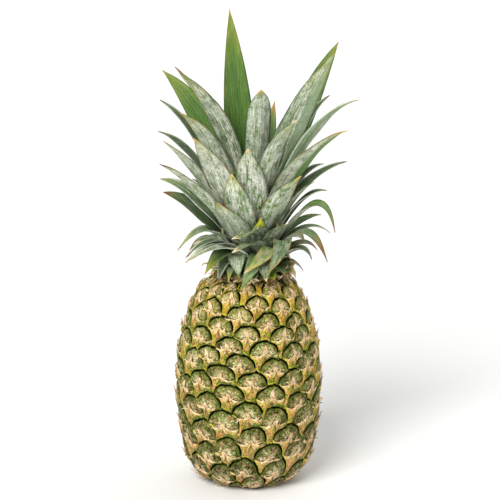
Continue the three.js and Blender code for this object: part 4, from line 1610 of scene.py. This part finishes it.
LOWER_LEAVES = (
    Leaf(5, 190, (44, 234), (66, 214), 13, dress=BLUE),
    Leaf(-24, 188, (48, 249), (69, 199), 16,
         dress=Dress(inner_bloom=0.3, tip=0.22, brown=0.7, lime=0.8, margin=0.9, depth=0.3)),
    Leaf(15, 187, (26, 215), (40, 209), 14, dress=DARK),
    Leaf(2, 186, (43, 218), (55, 200), 14, dress=OLIVE),
    Leaf(-16, 185, (44, 218), (52, 197), 14, dress=DARK),
    Leaf(0, 183, (31, 199), (43, 183), 11, dress=DARK),
    Leaf(204, 189, (36, 245), (68, 209), 16,
         dress=Dress(inner_bloom=0.45, tip=0.05, brown=0.7, lime=0.5, depth=0.4, rim=-0.3)),
    Leaf(214, 188, (37, 237), (65, 206), 12, shift=(8, 5), dress=BLUE),
    Leaf(224, 187, (38, 237), (77, 206), 12, shift=(13, 9), dress=BLUE),
    Leaf(233, 186, (39, 230), (85, 213), 12, shift=(15, 11), dress=BLUE),
    Leaf(229, 190, (36, 240), (74, 223), 10, shift=(14, 12), dress=GREY),
    Leaf(219, 187, (38, 238), (71, 208), 12, shift=(11, 7), dress=DARK),
    Leaf(232, 185, (36, 227), (64, 195), 20, shift=(6, 5),
         dress=Dress(inner_bloom=0.2, tip=0.03, lime=0.7, depth=0.5)),
    Leaf(-85, 190, (30, 242), (46, 223), 20, sway=-19, shift=(8, 9), hook=(-2, 2), dress=GREY),
    Leaf(-92, 187, (32, 229), (48, 214), 18, sway=-13, shift=(10, 10), hook=(-2, -1), dress=GREY),
    Leaf(-90, 198, (32, 222), (47, 194.8), 15, sway=-6.8, fold=(42, 210, 12), shift=(12, 26),
         dress=WITHERED),
    Leaf(-90, 200, (36, 234), (46, 193.5), 16, sway=12.0, fold=(46, 216, 27), shift=(16, 31),
         dress=Dress(inner_bloom=0.45, tip=0.03, margin=1.0, lime=0.1, depth=0.7, scar=0.6)),
    Leaf(-90, 196, (34, 214), (44, 180.3), 15, sway=-9.3, fold=(43, 200, 0), shift=(8, 10),
         dress=Dress(inner_bloom=0.25, tip=0.02, lime=0.2, depth=0.1)),
    Leaf(-90, 195, (34, 214), (40, 189), 17, sway=-11, fold=(38, 206, -13), shift=(-13, -14),
         dress=Dress(inner_bloom=0.75, tip=0.02, brown=0.3, lime=0.1, scar=0.4, depth=0.4)),
    Leaf(-90, 190, (34, 206), (41, 186), 17, sway=12, fold=(40, 200, 10), shift=(10, 12), dress=GREY),
    Leaf(-130, 186, (35, 217), (44, 183), 13, turn=20, dress=DARK),
    Leaf(-118, 184, (36, 205), (42, 184), 12, turn=-20, dress=Dress(inner_bloom=0.3, lime=0.8, depth=0.3)),
    Leaf(-134, 184, (33, 197), (37, 184), 9, turn=40, hook=(4, -3),
         dress=Dress(inner_bloom=0.0, outer_bloom=0.0, tip=0.5, brown=0.95, lime=1.6)),
    Leaf(-62, 184, (34, 196), (41, 183), 12, turn=-30, hook=(3, 2),
         dress=Dress(inner_bloom=0.0, outer_bloom=0.0, tip=0.15, brown=0.9, lime=2.5)),
    Leaf(-48, 184, (36, 200), (43, 184), 12, turn=20, hook=(-3, 2),
         dress=Dress(inner_bloom=0.2, outer_bloom=0.3, tip=0.2, brown=0.8, lime=1.6)),
)


@dataclass(frozen=True)
class Tier:
    """Leaves that stand round the stem, each one step round from the last and straying a little."""

    count: int
    start: float
    step: float
    root: float
    bend: tuple
    tip: tuple
    width: float
    dresses: tuple = (PLAIN, GREEN, DARK, SILVER, EDGED)
    stray: tuple = (6.0, 3.0, 9.0, 1.6)     # degrees, and millimetres outwards, upwards and of width

    def leaves(self, draw: np.random.Generator) -> list[Leaf]:
        """Draws the leaves of the tier.

        Args:
            draw: where they stray from.

        Returns:
            The leaves.
        """
        made = []
        for i in range(self.count):
            turn, out, up, wide = draw.uniform(-1, 1, 4) * self.stray
            made.append(Leaf(self.start + i * self.step + turn, self.root, self.bend,
                             (self.tip[0] + out, self.tip[1] + up), self.width + wide,
                             turn=draw.uniform(-28, 28), sway=draw.uniform(-5, 5),
                             dress=self.dresses[draw.integers(len(self.dresses))]))
        return made


BACK_TIERS = (
    Tier(3, 62, 28, 214, (37, 241), (59, 270), 24),
    Tier(4, 42, 33, 205, (37, 244), (61, 248), 22),
    Tier(4, 55, 24, 196, (41, 236), (63, 225), 20),
    Tier(4, 38, 36, 189, (35, 222), (56, 196), 18),
)

FOOT_TIER = Tier(9, -150, 40, 182, (29, 192), (36, 184), 16, (BURNT,), (4.0, 1.0, 2.0, 1.0))


@dataclass
class Blade:
    """The shape rule that all leaves share: a channelled tongue, thick along the middle."""

    rows: int = 30
    columns: int = 11
    root_share: float = 0.6                    # width at the root, of the widest
    widest: float = 0.4                        # share of the length where it is widest
    tip_half: float = 0.3
    turned: float = 0.5                        # share of the length by which it has turned
    channel: tuple = (0.45, 0.18)              # depth in half widths, at the root and the tip
    channel_power: float = 1.35
    hooked: float = 0.88                       # share of the length where a hook starts
    thickness: tuple = (1.5, 0.6, 0.45)        # middle, edge and tip
    root_low: tuple = (178, 18)                # height and distance from the axis where blades start
    root_high: tuple = (240, 4.5)
    wave: tuple = (0.5, 9)                     # size and length of the waves in its edges
    bow: tuple = (0.4, 14)                     # and of those that both edges share

    def points(self, leaf: Leaf, draw: np.random.Generator) -> tuple[Array, Array, Array, Array]:
        """Vertices of one leaf as a closed thin sheet.

        The middle line is a quadratic curve from the stem towards the bend and on to the tip, or a cubic
        one where the leaf has a fold. Across it the half width swells from the root to the widest place and
        narrows as 1 - s to the taper; the edges rise towards the inner face by the channel times the half
        width.

        Args:
            leaf: the leaf.
            draw: where its waves come from.

        Returns:
            points (rows, columns, 2 faces, 3), t (rows), u (columns) and half widths (rows).
        """
        t = np.linspace(0, 1, self.rows) ** 0.9
        u = np.linspace(-1, 1, self.columns)
        azimuth = math.radians(leaf.azimuth)
        out = np.array([math.cos(azimuth), math.sin(azimuth), 0.0])
        up = np.array([0.0, 0.0, 1.0])
        side = np.array([-math.sin(azimuth), math.cos(azimuth), 0.0])
        root_distance = np.interp(leaf.root, *zip(self.root_low, self.root_high))
        start, bend, tip = (out * d + up * z for d, z in ((root_distance, leaf.root), leaf.bend, leaf.tip))
        tt = t[:, None]
        start, bend = start + side * leaf.shift[0], bend + side * leaf.shift[1]
        tip = tip + side * leaf.sway
        centre = start * (1 - tt) ** 2 + bend * 2 * tt * (1 - tt) + tip * tt ** 2
        if leaf.fold:
            distance, height, aside = leaf.fold
            fold = out * distance + up * height + side * aside
            centre = (start * (1 - tt) ** 3 + bend * 3 * tt * (1 - tt) ** 2 + fold * 3 * tt ** 2 * (1 - tt)
                      + tip * tt ** 3)
        centre = centre + (side * leaf.hook[0] + up * leaf.hook[1]) * smooth(tt, self.hooked, 1.0) ** 2
        length = np.linalg.norm(np.diff(centre, axis=0), axis=1).sum()
        along = unit(np.gradient(centre, t, axis=0))
        across = unit(side - along * (along @ side)[:, None])
        outward = np.cross(across, along)
        turn = -math.radians(leaf.turn) * smooth(t, 0, self.turned)[:, None]
        across, outward = (across * np.cos(turn) + np.cross(along, across) * np.sin(turn),
                           outward * np.cos(turn) + np.cross(along, outward) * np.sin(turn))
        past = np.maximum(0, (t - self.widest) / (1 - self.widest))
        swell = lerp(self.root_share, 1, smooth(t, 0, self.widest))
        half = np.maximum(self.tip_half, leaf.width / 2 * swell * (1 - past ** leaf.taper))
        trough = half * lerp(self.channel[0], self.channel[1], t)
        middle, edge, end = self.thickness
        thick = lerp(lerp(middle, edge, np.abs(u)[None, :] ** 1.5), end, t[:, None])
        phase = draw.uniform(0, 2 * math.pi, 3)
        ripple, bow = (size * np.sin(t * length / run + start)
                       for (size, run), start in zip((self.wave, self.bow), phase))
        ripple = ripple * smooth(t, 0.15, 0.5)
        lean = ripple[:, None] * u[None, :] ** 3 + bow[:, None] * u[None, :] ** 2
        rise = (trough[:, None] * np.abs(u)[None, :] ** self.channel_power
                + lean * (half / (leaf.width / 2))[:, None])
        flat = centre[:, None] + across[:, None] * (u[None, :] * half[:, None])[..., None]
        faces = np.array([0.5, -0.5])
        offset = thick[..., None] * faces - rise[..., None]
        points = flat[:, :, None, :] + outward[:, None, None, :] * offset[..., None]
        return points, t * length, u, half


@dataclass
class Crown:
    """The leafy crown: a short stem packed with leaves, set a little off the fruit's axis."""

    offset: float = 3.0
    stem: tuple = (     # distances from the axis and heights
        (21, 178.3), (21, 183), (20, 190), (18, 202), (16, 215), (12, 230), (7, 242), (0.01, 248))
    lap: tuple = ((26, 178), (26, 190), (23, 202), (19, 215), (14, 230), (8, 244))  # and of sheaths
    stem_sides: int = 48
    # the stem's rows of colour: dark green with painted shade, as it stands in the leaves' shadow
    stem_dress: tuple = ((0.15, 0.0, 0.3, 0.0), (0.9, 0.5, 0.0, 0.8), (0.1, 0.0, 0.3, 0.0))
    blade: Blade = field(default_factory=Blade)
    foot_count: int = 84
    sheath_count: int = 56
    young_count: int = 11
    labels: tuple = ("blade", "tint", "shade", "wear_and_light")     # attributes that the finish reads
    foot_shown: float = 0.45        # cosine of the turn from -Y within which the foot has scraps only
    sheath_open: float = -0.5       # sine of the azimuth below which no sheath stands
    seed: int = 11
    tier_seed: int = 5

    def build(self, material: bpy.types.Material) -> list[bpy.types.Object]:
        """Builds the stem and each ring of leaves as a piece of its own.

        Args:
            material: the leaves' finish.

        Returns:
            The pieces.
        """
        draw = np.random.default_rng(self.seed)
        tiers = np.random.default_rng(self.tier_seed)
        groups = {
            "crown_heart": HEART_LEAVES, "crown_upper": UPPER_LEAVES, "crown_middle": MIDDLE_LEAVES,
            "crown_lower": LOWER_LEAVES,
            "crown_back": [leaf for tier in BACK_TIERS for leaf in tier.leaves(tiers)],
            "crown_foot": FOOT_TIER.leaves(tiers) + self.foot_leaves(draw),
            "crown_sheaths": self.sheaths(draw),
            "crown_young": self.young_leaves(draw),
        }
        made = [self.build_leaves(name, leaves, draw, material) for name, leaves in groups.items()]
        made.append(self.build_stem(material))
        return made

    def foot_leaves(self, draw: np.random.Generator) -> list[Leaf]:
        """Short narrow leaves and dry scales that crowd the crown's seat, stepping round as the eyes do.

        Args:
            draw: where they stray from.

        Returns:
            The leaves.
        """
        made = []
        for i in range(self.foot_count):
            azimuth = i * EYE_STEP + draw.uniform(-8, 8)
            share = i / self.foot_count
            shown = math.cos(math.radians(azimuth + 90)) > self.foot_shown
            scrap = i % 2 == 0 or shown
            long = draw.uniform(4, 9) if scrap else draw.uniform(10, 18)
            out = draw.uniform(26, 31)
            top = draw.uniform(181, 188) + (0 if scrap else 8 * share)
            drop = draw.uniform(-0.7, 0.6) * long
            dress = Dress(tip=draw.uniform(0.1, 0.5) if scrap else draw.uniform(0.1, 0.3),
                          brown=draw.choice([0.0, 0.1, 0.15, 0.6]), lime=draw.uniform(1.4, 3.0),
                          depth=draw.uniform(0, 0.6), inner_bloom=draw.uniform(0, 0.5),
                          outer_bloom=draw.uniform(0, 0.7), margin=0.4, blotch=draw.uniform(0, 0.3))
            made.append(Leaf(azimuth, 179 + 7 * share, (out, top + 3), (out + long * 0.7, top + drop),
                             draw.uniform(6, 11) if scrap else draw.uniform(9, 14),
                             turn=draw.uniform(-50, 50), dress=dress,
                             hook=(draw.uniform(-3, 3), draw.uniform(-2, 3))))
        return made

    def sheaths(self, draw: np.random.Generator) -> list[Leaf]:
        """Short broad leaves that lap over the stem behind, from its foot to its top, stepping round as the
        eyes do. Each climbs out of the stem and ends a few millimetres off it.

        Args:
            draw: where they stray from.

        Returns:
            The leaves.
        """
        made = []
        radii, heights = zip(*self.lap)
        for i in range(self.sheath_count):
            if math.sin(math.radians(i * EYE_STEP)) < self.sheath_open:
                continue
            share = i / self.sheath_count
            root = lerp(176.0, 234.0, share)
            near, far = (float(np.interp(root + rise, heights, radii)) for rise in (6, 20))
            made.append(Leaf(i * EYE_STEP + draw.uniform(-6, 6), root,
                             (near + 10.0, root + lerp(4, 8, share)),
                             (far + lerp(6.5, 9.0, share), root + lerp(20, 36, share)), lerp(25, 14, share),
                             taper=1.6, turn=draw.uniform(-12, 12),
                             dress=Dress(inner_bloom=0.3, outer_bloom=draw.uniform(0.5, 1.0), tip=0.06,
                                         brown=draw.uniform(0.2, 0.8), lime=0.8, scar=0.6, margin=0.25,
                                         depth=draw.uniform(0.1, 0.6))))
        return made

    def young_leaves(self, draw: np.random.Generator) -> list[Leaf]:
        """The youngest leaves, close together round the growing point, the last ones innermost.

        Args:
            draw: where they stray from.

        Returns:
            The leaves.
        """
        made = []
        for i in range(self.young_count):
            share = i / self.young_count
            made.append(Leaf(20 + i * EYE_STEP + draw.uniform(-8, 8), 232 + 6 * share,
                             (lerp(17, 5, share), lerp(258, 266, share)),
                             (lerp(24, 3, share), lerp(280, 290, share) + draw.uniform(-3, 3)),
                             lerp(15, 10, share),
                             dress=Dress(inner_bloom=0.15, outer_bloom=0.9, tip=0.06, brown=0.4, lime=0.9,
                                         scar=0.3)))
        return made

    def build_leaves(self, name: str, leaves: list[Leaf], draw: np.random.Generator,
                     material: bpy.types.Material) -> bpy.types.Object:
        """Builds a set of leaves as one piece.

        Args:
            name: the piece's name.
            leaves: the leaves.
            draw: where their waves and their own numbers come from.
            material: the leaves' finish.

        Returns:
            The piece, with the attributes that its finish reads.
        """
        rows, columns = self.blade.rows, self.blade.columns
        vertices, painted = [], []
        for leaf in leaves:
            points, run, u, half = self.blade.points(leaf, draw)
            vertices.append(points.reshape(-1, 3) + [self.offset, 0, 0])
            painted.append(self.paint(leaf.dress, run, u, half, draw.uniform(0, 1)))
        faces = repeated(sheet_faces(rows, columns), len(leaves), rows * columns * 2)
        attributes = {label: np.concatenate(values) for label, values in zip(self.labels, zip(*painted))}
        return make_piece(name, np.concatenate(vertices), faces, "crown", "leaf", material, **attributes)

    def paint(self, dress: Dress, run: Array, u: Array, half: Array, number: float) -> tuple[Array, ...]:
        """Where each vertex of a leaf lies on its blade, and how much bloom, dryness and shade it has.

        Args:
            dress: how the leaf is coloured.
            run: length along the leaf, for each row.
            u: place across it from -1 to 1, for each column.
            half: half width, for each row.
            number: the leaf's own number.

        Returns:
            blade (across, along, draw), tint (bloom, dry, lime, scar), shade (depth, brown, margin,
            painted_shade) and wear_and_light (blotch, rim, stripe, painted_lit_side), with painted shade in
            depth and rim and a painted highlight in painted_lit_side.
        """
        t = (run / run[-1])[:, None, None]
        side, half = u[None, :, None], half[:, None, None]
        width = np.abs(side)
        edge = half * (1 - width)
        face = np.array([Face.OUTER.value, Face.INNER.value], float)
        bloom = lerp(dress.outer_bloom, dress.inner_bloom, face) * smooth(t, 1.02, 0.9)
        bloom = bloom * (1 - abs(dress.bare) * smooth(side * dress.bare, -0.3, 0.0))
        dry = smooth(t + 0.5 * dress.tip * width, 1 - dress.tip * 1.15, 1 - dress.tip * 0.35)
        lime = dress.lime * smooth(t + 0.1 * width, 0.72, 1.0) * 0.8
        # depth: the dress's darker green, plus painted shade rising towards the root
        depth = np.clip(dress.depth + 0.7 * smooth(t, 0.4, 0.05), 0, 1)
        # painted shade: darker towards the root, where the leaves overlap
        painted_shade = 0.85 * smooth(t, 0.32, 0.08)
        margin = dress.margin * smooth(edge, 1.6, 0.5) * smooth(t, 0.25, 0.5)
        # rim: painted shadow along the edge, or a pale edge where the dress's rim is below 0
        rim = dress.rim * smooth(edge, 1.1 if dress.rim > 0 else 1.6, 0.2) * smooth(t, 1.0, 0.9)
        # painted highlight: one half of the back painted pale and smooth as the lit side of its fold
        painted_lit_side = abs(dress.painted_lit_side) * smooth(side * math.copysign(1, dress.painted_lit_side), 0.0, 0.14) * (1 - face)
        blotch = dress.blotch * smooth(t, 0.1, 0.4)

        def pack(*parts: object) -> Array:
            """Columns of one value for each vertex."""
            spread = [np.broadcast_to(part, (len(run), len(u), len(face))) for part in parts]
            return np.stack(spread, -1).reshape(-1, len(parts))

        return (pack(half * side, run[:, None, None], number), pack(bloom, dry, lime, dress.scar),
                pack(depth, dress.brown, margin, painted_shade), pack(blotch, rim, dress.stripe, painted_lit_side))

    def build_stem(self, material: bpy.types.Material) -> bpy.types.Object:
        """Builds the stem that the leaves grow from: its outline turned about the crown's axis.

        Args:
            material: the leaves' finish.

        Returns:
            The stem.
        """
        outline = np.array(((0.01, self.stem[0][1]), *self.stem), float)
        turn = np.linspace(0, 2 * math.pi, self.stem_sides, endpoint=False)
        rows = len(outline)
        points = np.stack([outline[:, :1] * np.cos(turn) + self.offset, outline[:, :1] * np.sin(turn),
                           np.broadcast_to(outline[:, 1:], (rows, self.stem_sides))], -1)
        count = rows * self.stem_sides
        blade = np.stack([points[..., 0], points[..., 2], np.zeros((rows, self.stem_sides))], -1)
        values = (blade.reshape(-1, 3), *(np.tile(row, (count, 1)) for row in self.stem_dress))
        faces = ring_quads(rows, self.stem_sides)[:, [0, 3, 2, 1]]
        return make_piece("crown_stem", points.reshape(-1, 3), faces, "crown", "leaf", material,
                          **dict(zip(self.labels, values)))


# ---- Studio --------------------------------------------------------------------------------------

@dataclass
class Studio:
    """Plain pale floor, soft light from the front and above, and the camera."""

    floor_reach: float = 30.0           # metres
    floor_colour: str = "F4F4F2"
    floor_roughness: float = 0.9
    world_strength: float = 0.5
    key: tuple = (3.0, 32.0, (-0.45, -1.0, 0.85))   # strength, width in degrees, where it comes from
    fill: tuple = (1.1, 90.0, (0.7, 1.0, 0.5))
    target: tuple = (0.0013, 0.0, 0.201)
    distance: float = 5.755
    elevation: float = 17.0
    lens: float = 493.0
    sensor: float = 36.0
    clip_end: float = 100.0

    def build(self) -> None:
        """Makes the floor, lights and camera, and sets how colours are shown."""
        self.build_floor()
        self.build_lights()
        self.build_camera()
        view = bpy.context.scene.view_settings
        view.view_transform = "Standard"
        view.look = "None"

    def build_floor(self) -> None:
        """A level plane at z = 0, where the fruit stands."""
        mesh = bpy.data.meshes.new("floor")
        r = self.floor_reach
        mesh.from_pydata([(-r, -r, 0), (r, -r, 0), (r, r, 0), (-r, r, 0)], [], [(0, 1, 2, 3)])
        material, shader = new_material("floor")
        coat(shader, self.floor_colour, self.floor_roughness)
        mesh.materials.append(material)
        floor = place_object("floor", mesh)

    def build_lights(self) -> None:
        """An even white sky, one wide soft lamp in front and a weaker one behind."""
        world = bpy.data.worlds.new("studio")
        world.use_nodes = True
        s = Shader(world.node_tree)
        background = world.node_tree.nodes["Background"]
        background.inputs["Color"].default_value = (1, 1, 1, 1)
        seen = s.node("ShaderNodeLightPath").outputs["Is Camera Ray"]
        s.feed(background.inputs["Strength"], s.scaled(seen, 1 - self.world_strength, self.world_strength))
        bpy.context.scene.world = world
        for name, (strength, angle, place) in (("key", self.key), ("fill", self.fill)):
            lamp = bpy.data.lights.new(name, "SUN")
            lamp.energy = strength
            lamp.angle = math.radians(angle)
            holder = place_object(name, lamp)
            holder.rotation_mode = "QUATERNION"
            holder.rotation_quaternion = Vector(place).to_track_quat("Z", "Y")

    def build_camera(self) -> None:
        """A long lens looking a little down at the fruit."""
        lens = bpy.data.cameras.new("camera")
        lens.lens = self.lens
        lens.sensor_width = self.sensor
        lens.clip_end = self.clip_end
        camera = place_object("camera", lens)
        up = math.radians(self.elevation)
        back = Vector((0, -math.cos(up), math.sin(up)))
        camera.location = Vector(self.target) + back * self.distance
        camera.rotation_mode = "QUATERNION"
        camera.rotation_quaternion = back.to_track_quat("Z", "Y")
        bpy.context.scene.camera = camera


def write_sizes() -> None:
    """Brings the scene's placements up to date."""
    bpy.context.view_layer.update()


def main() -> None:
    """Builds the studio and the pineapple's pieces in order."""
    logging.basicConfig(level=logging.INFO, format="%(name)s %(message)s")
    Studio().build()
    speckle = speckle_group()
    cells = Cells(Outline(), EyeSpiral())
    Rind(cells).build(RindFinish().material(speckle))
    Bracts(cells).build(BractFinish().material(speckle))
    BractTips(cells).build(PaperFinish().material())
    stalk = Stalk()
    stalk.build(StalkFinish().material(stalk.radius))
    Crown().build(LeafFinish().material())
    write_sizes()


if __name__ == "__main__":
    main()
